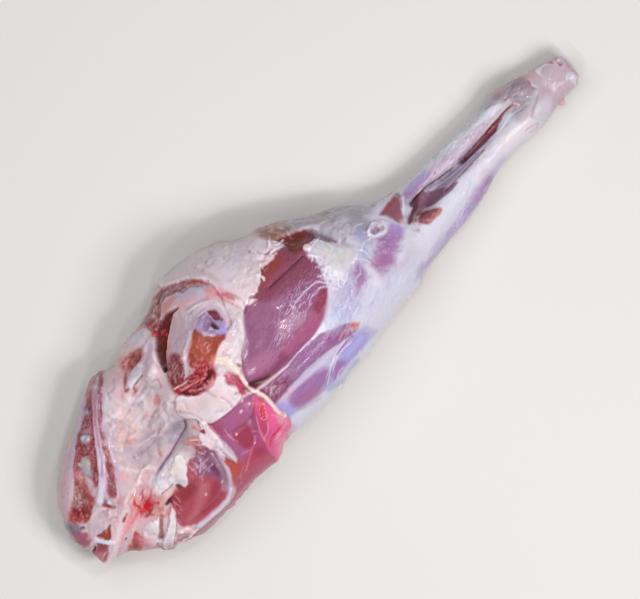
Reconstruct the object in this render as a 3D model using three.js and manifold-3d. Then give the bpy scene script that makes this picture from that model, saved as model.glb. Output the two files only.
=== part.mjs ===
// A raw leg of lamb with its hip end and shank on, lying on its outer side with the inner side up.
//
// Millimetres, +Z up. X runs along the leg, from the sawn hip end (-) to the knuckle of the shank (+).
// Y runs across it: the back of the leg, with the backbone, rump fat and heel tendon, is on the + side,
// and the front, with the flank and the shin, on the - side. The leg rests on z = 0.
//
// The flesh, its fat and its skins are one solid, leg_meat. Three bones show where the leg was cut, and each
// is a solid of its own that sits in a pocket of the meat: the split backbone, the aitch bone of the pelvis,
// and the knuckle that ends the shank. All sizes below are read in a plan whose origin is moved, at the end,
// to the middle of the finished leg's base.

import * as THREE from "three";
import { mergeVertices } from "three/addons/utils/BufferGeometryUtils.js";
import Module from "manifold-3d";

const wasm = await Module();
wasm.setup();

// ---------------------------------------------------------------- driving dimensions

const HIP_END = -249; // plan x of the sawn hip face
const MEAT_END = 231; // where the flesh of the shank stops
const TIP_END = 255; // tip of the knuckle
const HIP_ROUND = 9; // how far the hip face takes to round over
const SHANK_ROUND = 4;
const FIT_GAP = 0.35; // clearance between a bone and its pocket

const ROWS_ALONG = 76;
const END_ROWS = 4;
const FACES_AROUND = 58;
const UPPER_SHARE = 0.7; // of the faces around, those on the detailed upper side

// Edge of the leg on its back side, as [x, y].
const BACK_EDGE = [
  [-249, -1], [-248.5, 4], [-247, 9], [-240, 18], [-230, 30], [-215, 42], [-200, 51], [-190, 57],
  [-180, 64], [-170, 69], [-162, 72], [-153, 71.5], [-147, 67.5], [-140, 69.5], [-132, 75], [-125, 78],
  [-108, 80], [-98, 84], [-90, 90], [-83, 94], [-72, 96], [-50, 95.5], [-40, 94], [-30, 90], [-20, 83],
  [-10, 80], [0, 78.5], [10, 76], [20, 70.5], [30, 64], [40, 59], [50, 56], [58, 52.5], [68, 43.5],
  [80, 38.5], [100, 35], [120, 35], [140, 36.5], [160, 38.5], [180, 40.5], [192, 44], [201, 44.5],
  [212, 42], [222, 39], [231, 37],
];
// Edge of the leg on its front side.
const FRONT_EDGE = [
  [-249, -6], [-248.5, -12], [-247, -20], [-245, -33], [-242, -39.5], [-228, -42], [-210, -50.5],
  [-200, -57], [-190, -63], [-178, -67.5], [-165, -68.5], [-150, -67], [-125, -62], [-100, -62], [-90, -60],
  [-82, -56], [-70, -55.5], [-40, -53.5], [-28, -49.5], [0, -45], [20, -40], [40, -36], [62, -31],
  [70, -27.5], [100, -20.5], [120, -18], [135, -14], [150, -9], [165, -3.5], [180, -0.5], [205, 0.5],
  [218, 3], [231, 6.5],
];
// Height of the crown of each section over the table.
const CROWN = [
  [-249, 47], [-225, 52], [-190, 60], [-160, 68], [-130, 79], [-100, 89], [-75, 94], [-45, 96], [-15, 94],
  [15, 87], [45, 75], [70, 61], [90, 50], [115, 41], [150, 35], [185, 32], [210, 32], [231, 30],
];
// Height at which each section is widest.
const WAIST = [[-249, 24], [-200, 27], [-100, 35], [0, 33], [70, 24], [120, 19], [231, 16]];
// Lowest point of each section before the table flattens it.
const SOLE = [[-249, 8], [-236, 0], [-200, -3.5], [0, -4.5], [45, -1.5], [90, 2], [130, 4.5], [190, 3], [231, 1]];
// How boxy the upper side is: sawn square beside the backbone, round elsewhere.
const BACK_SQUARENESS = [[-249, 7], [-170, 7], [-135, 3], [-90, 2.4], [100, 2.2], [231, 2.4]];
const FRONT_SQUARENESS = [[-249, 3.4], [-180, 2.6], [-90, 2.5], [-60, 2.2], [100, 2.2], [231, 2.6]];
const SOLE_SQUARENESS = 2.3;

// ---------------------------------------------------------------- curves and shapes

/** A smooth function through [x, value] points that never swings past them: a monotone cubic. */
function profile(points) {
  const last = points.length - 1;
  const slopes = points.map(([x, y], i) => {
    if (i === 0 || i === last) return 0;
    const before = (y - points[i - 1][1]) / (x - points[i - 1][0]);
    const after = (points[i + 1][1] - y) / (points[i + 1][0] - x);
    return before * after <= 0 ? 0 : (2 * before * after) / (before + after);
  });
  return (x) => {
    if (x <= points[0][0]) return points[0][1];
    if (x >= points[last][0]) return points[last][1];
    const i = points.findIndex((p) => p[0] > x) - 1;
    const [x0, y0] = points[i];
    const [x1, y1] = points[i + 1];
    const span = x1 - x0;
    const s = (x - x0) / span;
    const rise = y0 * (1 - s) ** 2 * (1 + 2 * s) + y1 * s ** 2 * (3 - 2 * s);
    return rise + span * (slopes[i] * s * (1 - s) ** 2 - slopes[i + 1] * s ** 2 * (1 - s));
  };
}

/** Points of a smooth curve through [x, y] corners, as Vector2s. */
function smoothPath(corners, closed) {
  const curve = new THREE.CatmullRomCurve3(
    corners.map(([x, y]) => new THREE.Vector3(x, y, 0)), closed, "centripetal",
  );
  const STEPS_PER_CORNER = 5;
  return curve.getPoints(corners.length * STEPS_PER_CORNER).map((p) => new THREE.Vector2(p.x, p.y));
}

/** Distance from a place to the nearest stretch of a path, and the share of the path passed there. */
function nearest(path, x, y) {
  let best = { distance: Infinity, share: 0 };
  for (let i = 0; i + 1 < path.length; i++) {
    const a = path[i];
    const b = path[i + 1];
    const dx = b.x - a.x;
    const dy = b.y - a.y;
    const s = THREE.MathUtils.clamp(((x - a.x) * dx + (y - a.y) * dy) / (dx * dx + dy * dy || 1), 0, 1);
    const distance = Math.hypot(x - a.x - s * dx, y - a.y - s * dy);
    if (distance < best.distance) best = { distance, share: (i + s) / (path.length - 1) };
  }
  return best;
}

/** Whether a place lies inside a closed path. */
function inside(path, x, y) {
  let odd = false;
  for (let i = 0; i + 1 < path.length; i++) {
    const a = path[i];
    const b = path[i + 1];
    if (a.y > y !== b.y > y && x < ((b.x - a.x) * (y - a.y)) / (b.y - a.y) + a.x) odd = !odd;
  }
  return odd;
}

const smooth = THREE.MathUtils.smoothstep;

// ---------------------------------------------------------------- relief of the upper side
// Each form is a function of a place in plan that gives the height it adds.

/** A rounded swelling or, with a negative height, a hollow: an ellipse turned by a number of degrees. */
function swelling(x0, y0, length, width, turn, height) {
  const c = Math.cos(THREE.MathUtils.degToRad(turn));
  const s = Math.sin(THREE.MathUtils.degToRad(turn));
  return (x, y) => {
    const along = ((x - x0) * c + (y - y0) * s) / (length / 2);
    const across = ((y - y0) * c - (x - x0) * s) / (width / 2);
    const r2 = along * along + across * across;
    return r2 < 1 ? height * (1 - r2) ** 2 : 0;
  };
}

/** A ridge or, with negative heights, a furrow along a path: its height runs from one value to another. */
function ridge(corners, width, startHeight, endHeight = startHeight) {
  const path = smoothPath(corners, false);
  return (x, y) => {
    const { distance, share } = nearest(path, x, y);
    const r = distance / (width / 2);
    return r < 2 ? THREE.MathUtils.lerp(startHeight, endHeight, share) * Math.exp(-r * r) : 0;
  };
}

/** A sheet of even thickness over a closed outline, such as a cap of fat: its lip takes lipWidth to rise. */
function sheet(corners, thickness, lipWidth) {
  const path = smoothPath(corners, true);
  return (x, y) => {
    const { distance } = nearest(path, x, y);
    const signed = inside(path, x, y) ? distance : -distance;
    return thickness * smooth(signed, -lipWidth / 2, lipWidth / 2);
  };
}

/** Soft lumps, about as far apart as the spacing, that fade out away from a centre. */
function lumps(x0, y0, reach, spacing, height) {
  const k = (2 * Math.PI) / spacing;
  return (x, y) => {
    const fade = Math.max(0, 1 - Math.hypot((x - x0) / reach, (y - y0) / reach) ** 2);
    const wave = Math.sin(k * x + 1.7 * Math.sin(k * 0.61 * y)) * Math.cos(k * 0.83 * y + 1.3 * Math.sin(k * 0.47 * x));
    return height * fade * wave;
  };
}

const RELIEF = [
  // Hip end: the hollow of the pelvis between the backbone and the aitch bone, full of lumpy fat.
  swelling(-158, 18, 96, 62, 45, -8),
  lumps(-165, 8, 78, 22, 2),
  swelling(-131, 61, 34, 15, 20, -7),
  swelling(-140, 53, 16, 9, 35, 3),
  ridge([[-118, 72], [-122, 56], [-128, 42], [-140, 34]], 9, 3, 2),
  ridge([[-129, 4], [-145, -3], [-160, -8], [-177, -14]], 8, -8, -4),
  ridge([[-176, -8], [-160, -3], [-146, 3]], 14, 3),
  // Sawn spine of the loin along the front of the hip face.
  ridge([[-246, -26], [-232, -20], [-218, -18]], 7, -5, -2),
  swelling(-233, -31, 26, 13, 30, 3),
  // Aitch bone: a shoulder of gristle round it, and the deep cleft behind it.
  swelling(-90, 40, 76, 66, 30, 9),
  ridge([[-118, 40], [-114, 53], [-106, 63], [-95, 68]], 8, -11, -5),
  ridge([[-109, 70], [-97, 78], [-80, 84], [-64, 80], [-54, 70]], 7, -3.5, -2.5),
  ridge([[-106, 56], [-95, 68], [-78, 74], [-62, 70], [-50, 60]], 11, 3),
  swelling(-72, -1, 74, 26, 8, 2),
  swelling(-100, 3, 44, 26, 15, 4),
  // Rump fat: one thick cap whose ragged lip ends over the inner muscle.
  sheet(
    [[-96, 110], [-10, 100], [2, 78], [-4, 66], [-14, 60], [-22, 49], [-34, 42], [-46, 39], [-58, 23],
      [-70, 11], [-76, -3], [-74, -20], [-71, -36], [-75, -52], [-90, -75], [-120, -80], [-130, 40]],
    4.5, 10,
  ),
  swelling(-50, 74, 84, 42, -8, 3),
  // Flank: the pink flap, its folded lobe and the crease between them.
  swelling(-82, -38, 30, 46, 12, 5.5),
  ridge([[-79, -14], [-88, -24], [-96, -34], [-98, -46]], 6, -3.5, -1.5),
  ridge([[-113, -26], [-103, -24], [-94, -26]], 5, -2),
  swelling(-104, -40, 34, 30, 0, -2.5),
  // Round muscle at the hip with the skin that wraps its front, and the tongue of fat that laps it.
  swelling(-155, -43, 58, 40, 8, 5),
  ridge([[-133, -18], [-128, -34], [-132, -50], [-146, -59], [-166, -61], [-184, -57]], 6, 3.5, 2.5),
  ridge([[-126, -22], [-123, -38], [-127, -52]], 6, -3),
  sheet([[-176, -12], [-160, -8], [-148, -12], [-151, -22], [-158, -32], [-164, -26], [-176, -30], [-186, -24]], 3, 7),
  sheet([[-203, -40], [-192, -34], [-182, -44], [-190, -56], [-202, -54]], 2.5, 6),
  swelling(-191, -26, 20, 10, 20, -4),
  // Inner muscles of the thigh, with the furrow between them and the strips along the front.
  swelling(-25, 24, 96, 66, 12, 4),
  ridge([[-76, -10], [-50, -12], [-20, -9], [4, -1], [18, 10]], 9, -5, -2.5),
  swelling(-36, -19, 84, 15, 2, 2.5),
  ridge([[-72, -29], [-40, -27], [-12, -25], [12, -20]], 7, -2.5, -1.5),
  swelling(-32, -37, 76, 18, 4, 2.5),
  ridge([[-30, 40], [-12, 40], [12, 41]], 5, -2),
  // Back of the knee: the dark hollow under the rump fat and the folds of skin round it.
  swelling(19, 53, 24, 14, -15, -6),
  ridge([[2, 72], [14, 66], [30, 58], [44, 50]], 10, 2.5),
  ridge([[20, 46], [30, 42], [40, 34], [52, 27]], 8, 2.5),
  lumps(45, 32, 40, 17, 1.2),
  sheet([[16, 46], [30, 44], [38, 30], [46, 18], [36, 10], [24, 14], [16, 28]], 2.5, 7),
  swelling(66, 21, 18, 14, -10, 3.5),
  swelling(68, 21, 7, 6, 0, -3.5),
  swelling(56, 0, 28, 20, 60, -2),
  // Shank: the heel tendon and the shin stand up as two ridges with a deep hollow between them.
  ridge([[80, 33], [120, 32], [160, 34], [196, 37], [220, 35]], 10, 2, 4.5),
  ridge([[70, -10], [100, -4], [140, 3], [180, 8], [222, 13]], 17, 1.5, 3.5),
  swelling(106, 15, 52, 21, 4, -15),
  ridge([[116, 17], [150, 19], [176, 22], [205, 25]], 8, -7, -5),
  swelling(103, 5, 24, 11, -8, 4),
  swelling(87, 27, 20, 16, 30, -3.5),
  ridge([[82, 16], [92, 20], [104, 24]], 6, 2.5),
  swelling(205, 37, 44, 16, -6, 3),
];

// ---------------------------------------------------------------- the leg's own surface

const backEdge = profile(BACK_EDGE);
const frontEdge = profile(FRONT_EDGE);
const crown = profile(CROWN);
const waist = profile(WAIST);
const sole = profile(SOLE);
const backSquareness = profile(BACK_SQUARENESS);
const frontSquareness = profile(FRONT_SQUARENESS);

/** How full the section is near an end: 0 at the end's face, 1 once it has rounded over. */
function fullness(x) {
  const fromHip = Math.min(1, (x - HIP_END) / HIP_ROUND);
  const fromShank = Math.min(1, (MEAT_END - x) / SHANK_ROUND);
  const quarterRound = (s) => Math.sqrt(Math.max(0, 1 - (1 - s) ** 2));
  return quarterRound(fromHip) * quarterRound(fromShank);
}

/** Where the section at x is y: -1 at the front edge, 0 midway and 1 at the back edge. */
function acrossShare(x, y) {
  const middle = (backEdge(x) + frontEdge(x)) / 2;
  return (y - middle) / ((backEdge(x) - frontEdge(x)) / 2);
}

/** How high the arch of the section at x stands at y: 0 at the edges of the leg, 1 under the crown. */
function arch(x, y) {
  const t = THREE.MathUtils.clamp(acrossShare(x, y), -1, 1);
  return Math.sqrt(1 - Math.abs(t) ** (t > 0 ? backSquareness(x) : frontSquareness(x)));
}

/** Height of the plain upper side, with no relief, at a place in plan. */
function plainHeight(x, y) {
  return waist(x) + (crown(x) - waist(x)) * arch(x, y) * fullness(x);
}

/** Height of the upper side at a place in plan. */
function upperHeight(x, y) {
  const relief = RELIEF.reduce((sum, form) => sum + form(x, y), 0);
  return plainHeight(x, y) + relief * smooth(arch(x, y), 0.15, 0.6) * fullness(x);
}

/** Height of the under side at a place in plan: round, and flat where the table carries it. */
function lowerHeight(x, y) {
  const t = THREE.MathUtils.clamp(acrossShare(x, y), -1, 1);
  const dome = Math.sqrt(1 - Math.abs(t) ** SOLE_SQUARENESS);
  return Math.max(0, waist(x) - (waist(x) - sole(x)) * dome * fullness(x));
}

/** x of a row of vertices, 0 at the hip end and 1 at the shank end, with close rows where the ends round over. */
function rowPlace(share) {
  const row = share * ROWS_ALONG;
  const easeEnd = (rows) => 1 - Math.cos((Math.PI / 2) * (rows / END_ROWS));
  if (row <= END_ROWS) return HIP_END + HIP_ROUND * easeEnd(row);
  if (row >= ROWS_ALONG - END_ROWS) return MEAT_END - SHANK_ROUND * easeEnd(ROWS_ALONG - row);
  const between = (row - END_ROWS) / (ROWS_ALONG - 2 * END_ROWS);
  return THREE.MathUtils.lerp(HIP_END + HIP_ROUND, MEAT_END - SHANK_ROUND, between);
}

/** The notch in the hip face, where the sawn loin bone stands apart from the fat. */
const hipNotch = (x, y) => 5 * Math.exp(-(((y + 25) / 4) ** 2)) * (1 - smooth(x, HIP_END, HIP_END + 22));

/** Rewrites the positions of a sphere: place(u, v) gives the point at u round it and v from pole to pole. */
function reshapedSphere(around, rows, place) {
  const geometry = new THREE.SphereGeometry(1, around, rows);
  const uv = geometry.getAttribute("uv");
  const position = geometry.getAttribute("position");
  for (let i = 0; i < position.count; i++) {
    const row = Math.round((1 - uv.getY(i)) * rows);
    const atPole = row === 0 || row === rows;
    const column = atPole ? 0 : Math.round(uv.getX(i) * around) % around;
    position.setXYZ(i, ...place(column / around, row / rows));
  }
  return solidFrom(geometry);
}

/** A closed geometry as a manifold solid, turned to face outwards. */
function solidFrom(geometry) {
  const bare = geometry.clone();
  bare.deleteAttribute("normal");
  bare.deleteAttribute("uv");
  const merged = mergeVertices(bare, 1e-4);
  const triVerts = new Uint32Array(merged.index.array);
  const build = () =>
    new wasm.Manifold(
      new wasm.Mesh({ numProp: 3, vertProperties: new Float32Array(merged.attributes.position.array), triVerts }),
    );
  const made = build();
  if (made.volume() > 0) return made;
  for (let i = 0; i < triVerts.length; i += 3) {
    [triVerts[i + 1], triVerts[i + 2]] = [triVerts[i + 2], triVerts[i + 1]];
  }
  return build();
}

/** The whole leg with nothing cut out of it. */
function uncutLeg() {
  return reshapedSphere(FACES_AROUND, ROWS_ALONG, (u, v) => {
    const x = rowPlace(v);
    const upper = u < UPPER_SHARE;
    const turn = upper ? (Math.PI * u) / UPPER_SHARE : Math.PI * (1 + (u - UPPER_SHARE) / (1 - UPPER_SHARE));
    const even = upper ? 1 - (2 * turn) / Math.PI : (2 * turn) / Math.PI - 3;
    const share = 0.6 * Math.cos(turn) + 0.4 * even;
    const half = (backEdge(x) - frontEdge(x)) / 2;
    const y = (backEdge(x) + frontEdge(x)) / 2 + share * half * (fullness(x) > 0 ? 1 : 0);
    const z = upper ? upperHeight(x, y) : lowerHeight(x, y);
    return [x + hipNotch(x, y), y, z];
  });
}

// ---------------------------------------------------------------- bones

/**
 * A bone whose sawn or bared face shows in the upper side: a puck under a closed outline, sunk into the meat.
 * grow widens it all round, so that the same call makes the pocket that it sits in.
 */
function sunkenBone({ outline, centre, faceHeight, footHeight, belly, around, rows }, grow = 0) {
  const rim = new THREE.CatmullRomCurve3(
    outline.map(([x, y]) => new THREE.Vector3(x, y, 0)), true, "centripetal",
  );
  const winding = Math.sign(THREE.ShapeUtils.area(outline.map(([x, y]) => new THREE.Vector2(x, y))));
  const middle = new THREE.Vector3(...centre, 0);
  const FACE_END = 0.4; // shares of the way from pole to pole: the face, then the wall, then the underside
  const WALL_END = 0.6;
  const POCKET_MOUTH = 14; // a pocket is open upwards, this far past the bone's face
  const faceRaise = grow > 0 ? POCKET_MOUTH : 0;
  return reshapedSphere(around, rows, (u, v) => {
    const outward = rim.getPoint(u).sub(middle);
    const tangent = rim.getTangent(u);
    outward.addScaledVector(new THREE.Vector3(tangent.y, -tangent.x, 0), grow * winding);
    const onFace = v <= FACE_END;
    const onUnderside = v >= WALL_END;
    const spread = onFace ? v / FACE_END : onUnderside ? (1 - v) / (1 - WALL_END) : 1;
    const x = middle.x + outward.x * spread;
    const y = middle.y + outward.y * spread;
    const face = faceHeight(x, y, spread) + faceRaise;
    const foot = footHeight(x) - grow;
    if (onFace) return [x, y, face];
    if (onUnderside) return [x, y, foot - belly * (1 - spread ** 2)];
    return [x, y, THREE.MathUtils.lerp(face, foot, (v - FACE_END) / (WALL_END - FACE_END))];
  });
}

const AITCH_BONE = {
  outline: [
    [-118, 33], [-117, 25], [-108, 16], [-96, 13], [-87, 21], [-77, 28], [-67, 33], [-60, 41], [-60, 51],
    [-68, 56], [-82, 55], [-98, 54], [-109, 48],
  ],
  centre: [-91, 36],
  // The bared face stands proud of the meat and falls away to its rim.
  faceHeight: (x, y, spread) => upperHeight(x, y) + 4.5 * (1 - spread ** 3) - 0.5,
  footHeight: (x) => crown(x) - 12,
  belly: 8,
  around: 36,
  rows: 15,
};

const BACKBONE = {
  outline: [
    [-163, 66], [-172, 61], [-186, 53], [-200, 42], [-214, 29], [-228, 15], [-238, 4], [-237, -4], [-226, -5],
    [-213, -9], [-204, -9], [-195, 5], [-187, 22], [-178, 40], [-168, 55], [-160, 63],
  ],
  centre: [-199, 28],
  // Sawn smooth, flush with the meat but for the meat's own lumps.
  faceHeight: (x, y) => plainHeight(x, y) + 0.4,
  footHeight: (x) => crown(x) - 27,
  belly: 6,
  around: 44,
  rows: 10,
};

const KNUCKLE_BACK = 37.5; // plan y of the knuckle's two sides
const KNUCKLE_FRONT = 7.5;
const KNUCKLE_TOP = 31;
const PEG_END = 196; // how far the shaft reaches into the shank
const PEG_RADIUS = 8.5;
const NECK = 229; // where the shaft swells into the knuckle

/** The end of the shank bone: a blunt knuckle of two rounded condyles on a shaft that runs into the meat. */
function knuckle(grow = 0) {
  const AROUND = 28;
  const ROWS = 19;
  const KNOB_FROM = 0.32; // share of the rows on the shaft
  const middleY = (KNUCKLE_BACK + KNUCKLE_FRONT) / 2;
  const middleZ = KNUCKLE_TOP / 2;
  const girth = profile([[0, 1], [0.3, 0.95], [0.7, 1.03], [1, 1]]);
  return reshapedSphere(AROUND, ROWS, (u, v) => {
    const turn = 2 * Math.PI * u;
    const c = Math.cos(turn);
    const s = Math.sin(turn);
    if (v < KNOB_FROM) {
      const share = v / KNOB_FROM;
      const x = THREE.MathUtils.lerp(PEG_END - grow, NECK - grow, share);
      const radius = (PEG_RADIUS + grow) * smooth(share, 0, 0.3);
      return [x, middleY + radius * c, middleZ + radius * s];
    }
    // Past the neck the knob keeps its width, then rounds over to the tip.
    const share = (v - KNOB_FROM) / (1 - KNOB_FROM);
    const blunt = Math.cos((Math.PI / 2) * share ** 2.6) ** 0.6;
    const x = NECK + (TIP_END - NECK) * Math.sin((Math.PI / 2) * share) - grow;
    const boxy = (Math.abs(c) ** 2.6 + Math.abs(s) ** 2.6) ** (-1 / 2.6);
    const spread = girth(share) * blunt * boxy;
    const halfWidth = (KNUCKLE_BACK - KNUCKLE_FRONT) / 2 + grow;
    const halfHeight = KNUCKLE_TOP / 2 + grow;
    const saddle = 2.6 * Math.exp(-((c / 0.35) ** 2)) * smooth(share, 0.1, 0.7) * blunt;
    const slant = 3 * c * share; // the condyle at the front of the leg reaches further
    return [x - slant * blunt, middleY + halfWidth * spread * c, middleZ + (halfHeight * spread - saddle) * s];
  });
}

// ---------------------------------------------------------------- the finished leg

const FLESH = new THREE.MeshStandardMaterial({ color: 0xc9929b, roughness: 0.42, metalness: 0 });
const SAWN_BONE = new THREE.MeshStandardMaterial({ color: 0xa86a68, roughness: 0.6, metalness: 0 });
const BARE_BONE = new THREE.MeshStandardMaterial({ color: 0xb5735f, roughness: 0.45, metalness: 0 });
const GRISTLE = new THREE.MeshStandardMaterial({ color: 0xdcc4c4, roughness: 0.4, metalness: 0 });

/** A manifold solid as a named mesh. */
function meshOf(name, solid, material) {
  const { vertProperties, triVerts } = solid.getMesh();
  const geometry = new THREE.BufferGeometry()
    .setAttribute("position", new THREE.BufferAttribute(new Float32Array(vertProperties), 3))
    .setIndex(new THREE.BufferAttribute(new Uint32Array(triVerts), 1));
  geometry.computeVertexNormals();
  const mesh = new THREE.Mesh(geometry, material);
  mesh.name = name;
  return mesh;
}

const meat = uncutLeg()
  .subtract(sunkenBone(AITCH_BONE, FIT_GAP))
  .subtract(sunkenBone(BACKBONE, FIT_GAP))
  .subtract(knuckle(FIT_GAP));

const leg = new THREE.Group();
leg.add(
  meshOf("leg_meat", meat, FLESH),
  meshOf("backbone", sunkenBone(BACKBONE), SAWN_BONE),
  meshOf("aitch_bone", sunkenBone(AITCH_BONE), BARE_BONE),
  meshOf("shank_knuckle", knuckle(), GRISTLE),
);

// The frame's origin is the middle of the leg's base.
const extent = new THREE.Box3().setFromObject(leg);
leg.position.set(-(extent.min.x + extent.max.x) / 2, -(extent.min.y + extent.max.y) / 2, -extent.min.z);

export default leg;
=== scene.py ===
"""The looks of a raw leg of lamb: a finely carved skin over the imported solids, laid with fat, lean and fascia.

Every shape and place is in millimetres of the leg's plan: x runs from the hip to the shank, y across it
towards the back of the leg. Meshes are in metres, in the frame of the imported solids.
"""

import logging
import math
import random
from collections.abc import Callable, Sequence
from dataclasses import dataclass
from enum import Enum

import bmesh
import bpy
import numpy as np
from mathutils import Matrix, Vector, noise


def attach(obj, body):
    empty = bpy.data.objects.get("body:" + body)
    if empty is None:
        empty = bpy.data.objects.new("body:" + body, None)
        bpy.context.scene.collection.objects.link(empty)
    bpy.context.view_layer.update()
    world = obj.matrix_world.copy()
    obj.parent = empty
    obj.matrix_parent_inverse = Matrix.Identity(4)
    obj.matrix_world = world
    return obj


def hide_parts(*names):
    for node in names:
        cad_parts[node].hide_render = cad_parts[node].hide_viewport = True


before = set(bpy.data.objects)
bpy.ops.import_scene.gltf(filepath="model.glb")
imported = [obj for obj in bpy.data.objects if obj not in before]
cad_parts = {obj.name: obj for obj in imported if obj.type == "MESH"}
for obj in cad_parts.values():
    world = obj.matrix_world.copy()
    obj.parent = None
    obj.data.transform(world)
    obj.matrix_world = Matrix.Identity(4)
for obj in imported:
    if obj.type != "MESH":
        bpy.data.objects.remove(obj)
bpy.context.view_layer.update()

LOG = logging.getLogger("leg_of_lamb")
MM_PER_M = 1000
PLAN_ORIGIN_MM = np.array([3.566, 14.18, 0.0])  # the plan's place of the frame's origin
Point = tuple[float, float]
Pair = tuple[float, float]  # a first and a last, or a least and a most
Triple = tuple[float, float, float]
Path = str | Sequence[Point]  # corners in plan millimetres, as points or written out: "-113,40 -98,50"
Layer = tuple[float, int, float]  # one noise of several: its size in millimetres, its seed and its share
Swelling = tuple[Point, float, float, float, float, float | None]  # what Skin.swell takes


# ---------------------------------------------------------------- tissues


def linear(hex_code: str) -> Triple:
    """Turn an sRGB hex colour into linear light.

    Args:
        hex_code: the colour, such as "#D9C6CC".

    Returns:
        Its red, green and blue in linear light.
    """
    shares = [int(hex_code[i : i + 2], 16) / 255 for i in (1, 3, 5)]
    red, green, blue = (c / 12.92 if c <= 0.04045 else ((c + 0.055) / 1.055) ** 2.4 for c in shares)
    return red, green, blue


@dataclass(frozen=True)
class Finish:
    """How one tissue looks: its colour and how much it shows of fibre, fat lobes and bone pores."""

    hex_code: str
    lean: float = 0.0
    fat: float = 0.0
    bone: float = 0.0
    rough: float = 0.36


class Tissue(Enum):
    """The tissues that show on a raw leg of lamb."""

    # Fats: waxy, softly lobed, pinkish where blood has seeped in.
    OUTER_FAT = Finish("#DBCBCB", fat=0.45, rough=0.36)
    RUMP_FAT = Finish("#CFBEC3", fat=0.3, rough=0.30)
    PELVIC_FAT = Finish("#CBB3B9", fat=0.22, rough=0.26)
    SMOOTH_FAT = Finish("#DDCBD1", fat=0.2, rough=0.24)
    SAWN_FAT = Finish("#C4A8B3", fat=0.3, rough=0.32)
    WARM_FAT = Finish("#DBB4AC", fat=0.25, rough=0.26)
    SALMON = Finish("#CC8C90", fat=0.3, rough=0.22)
    YELLOW_FAT = Finish("#DFD2C2", fat=0.3, rough=0.28)
    WHITE_FAT = Finish("#DAD0D6", fat=0.3, rough=0.22)
    GREY_CREAM = Finish("#CFC9C9", fat=0.4, rough=0.26)
    # grey fat, and painted shade in the creases, hollows and pits of the fat
    GREY_FAT_AND_SHADE = Finish("#A194A0", fat=0.25, rough=0.26)
    TAN_FAT = Finish("#C6A4A4", fat=0.4, rough=0.26)
    ASH_FAT = Finish("#C0A8B3", fat=0.3, rough=0.24)
    KNEE_FAT = Finish("#CBC5D0", fat=0.3, rough=0.24)
    KNEE_GREY = Finish("#A9A4B0", fat=0.35, rough=0.24)
    TAN_RIND = Finish("#B8988E", fat=0.5, rough=0.40)
    # grey rind, and dark painted shade in creases, pits and along the rump's far edge
    GREY_RIND_AND_SHADE = Finish("#74686C", fat=0.4, rough=0.36)
    CREAM_EDGE = Finish("#E4C8C6", fat=0.3, rough=0.22)
    ORANGE_BEAD = Finish("#CC8478", fat=0.3, rough=0.22)
    # Skins over the muscle: thin, tight and glossy, bluish over white, lilac over red.
    WHITE_SKIN = Finish("#D3D1DD", lean=0.08, rough=0.18)
    FASCIA = Finish("#CDCAD9", lean=0.1, rough=0.19)
    FASCIA_BLUE = Finish("#A7A8C6", lean=0.1, rough=0.18)
    LILAC_SKIN = Finish("#B7AFCC", lean=0.15, rough=0.18)
    LILAC_WHITE = Finish("#CFC3DA", lean=0.1, rough=0.16)
    LILAC_GREY = Finish("#BCAFC0", lean=0.1, rough=0.22)
    MUSCLE_SKIN = Finish("#9C709E", lean=0.5, rough=0.18)
    VIOLET_SKIN = Finish("#A9A4DE", lean=0.1, rough=0.18)
    VIOLET_BLUE = Finish("#9C8FCB", lean=0.35, rough=0.17)
    PERIWINKLE = Finish("#ADAADE", lean=0.1, rough=0.17)
    MEMBRANE = Finish("#BBA0B4", lean=0.1, rough=0.18)
    TENDON = Finish("#C6C6CF", lean=0.3, rough=0.2)
    SHIN_SKIN = Finish("#C8C5D0", lean=0.1, rough=0.19)
    HEEL_SHEET = Finish("#B3A5B7", lean=0.2, rough=0.2)
    HEEL_PINK = Finish("#93808A", lean=0.15, rough=0.26)
    GREY_RIDGE = Finish("#94869A", lean=0.5, rough=0.2)
    # Muscle, from the dry brown of a cut edge to the wet pink of the flank.
    THIGH_LEAN = Finish("#8C5376", lean=1.0, rough=0.2)
    THIGH_PINK = Finish("#A86A8C", lean=1.0, rough=0.18)
    THIGH_PURPLE = Finish("#90568F", lean=0.8, rough=0.18)
    MAGENTA = Finish("#AC5A7C", lean=0.9, rough=0.18)
    MAGENTA_PURPLE = Finish("#97599A", lean=0.5, rough=0.17)
    STRIP_LEAN = Finish("#91608A", lean=1.0, rough=0.18)
    SHANK_LEAN = Finish("#846076", lean=0.9, rough=0.2)
    SLIT_LEAN = Finish("#6E3E4E", lean=0.8, rough=0.2)
    ROUND_LEAN = Finish("#A64C5B", lean=0.7, rough=0.16)
    # painted reflection: a broad purple-grey sheen
    PURPLE_SHEEN = Finish("#83526F", lean=0.5, rough=0.16)
    DEEP_PURPLE = Finish("#6C3A5C", lean=0.5, rough=0.2)
    TRIANGLE = Finish("#905A68", lean=0.7, rough=0.18)
    FLAP_PURPLE = Finish("#A25C82", lean=0.7, rough=0.17)
    FLAP_RED = Finish("#963347", lean=0.8, rough=0.18)
    FLAP_PINK = Finish("#AB4360", lean=0.6, rough=0.17)
    LOBE_PINK = Finish("#D2528A", lean=0.3, rough=0.16)
    LOBE_RED = Finish("#AD4560", lean=0.4, rough=0.16)
    BRIGHT_PINK = Finish("#E8668C", lean=0.2, rough=0.15)
    LOBE_EDGE = Finish("#E2AEC0", lean=0.2, rough=0.18)
    LOIN_RED = Finish("#A5606C", lean=0.5, bone=0.4, rough=0.26)
    ORANGE_LEAN = Finish("#AE5249", lean=0.7, rough=0.2)
    RUST = Finish("#93443A", lean=0.8, rough=0.24)
    RED_BROWN = Finish("#833F49", lean=0.9, rough=0.22)
    BROWN_LEAN = Finish("#78332A", lean=0.7, rough=0.28)
    DARK_LEAN = Finish("#562422", lean=0.6, rough=0.3)
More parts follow.
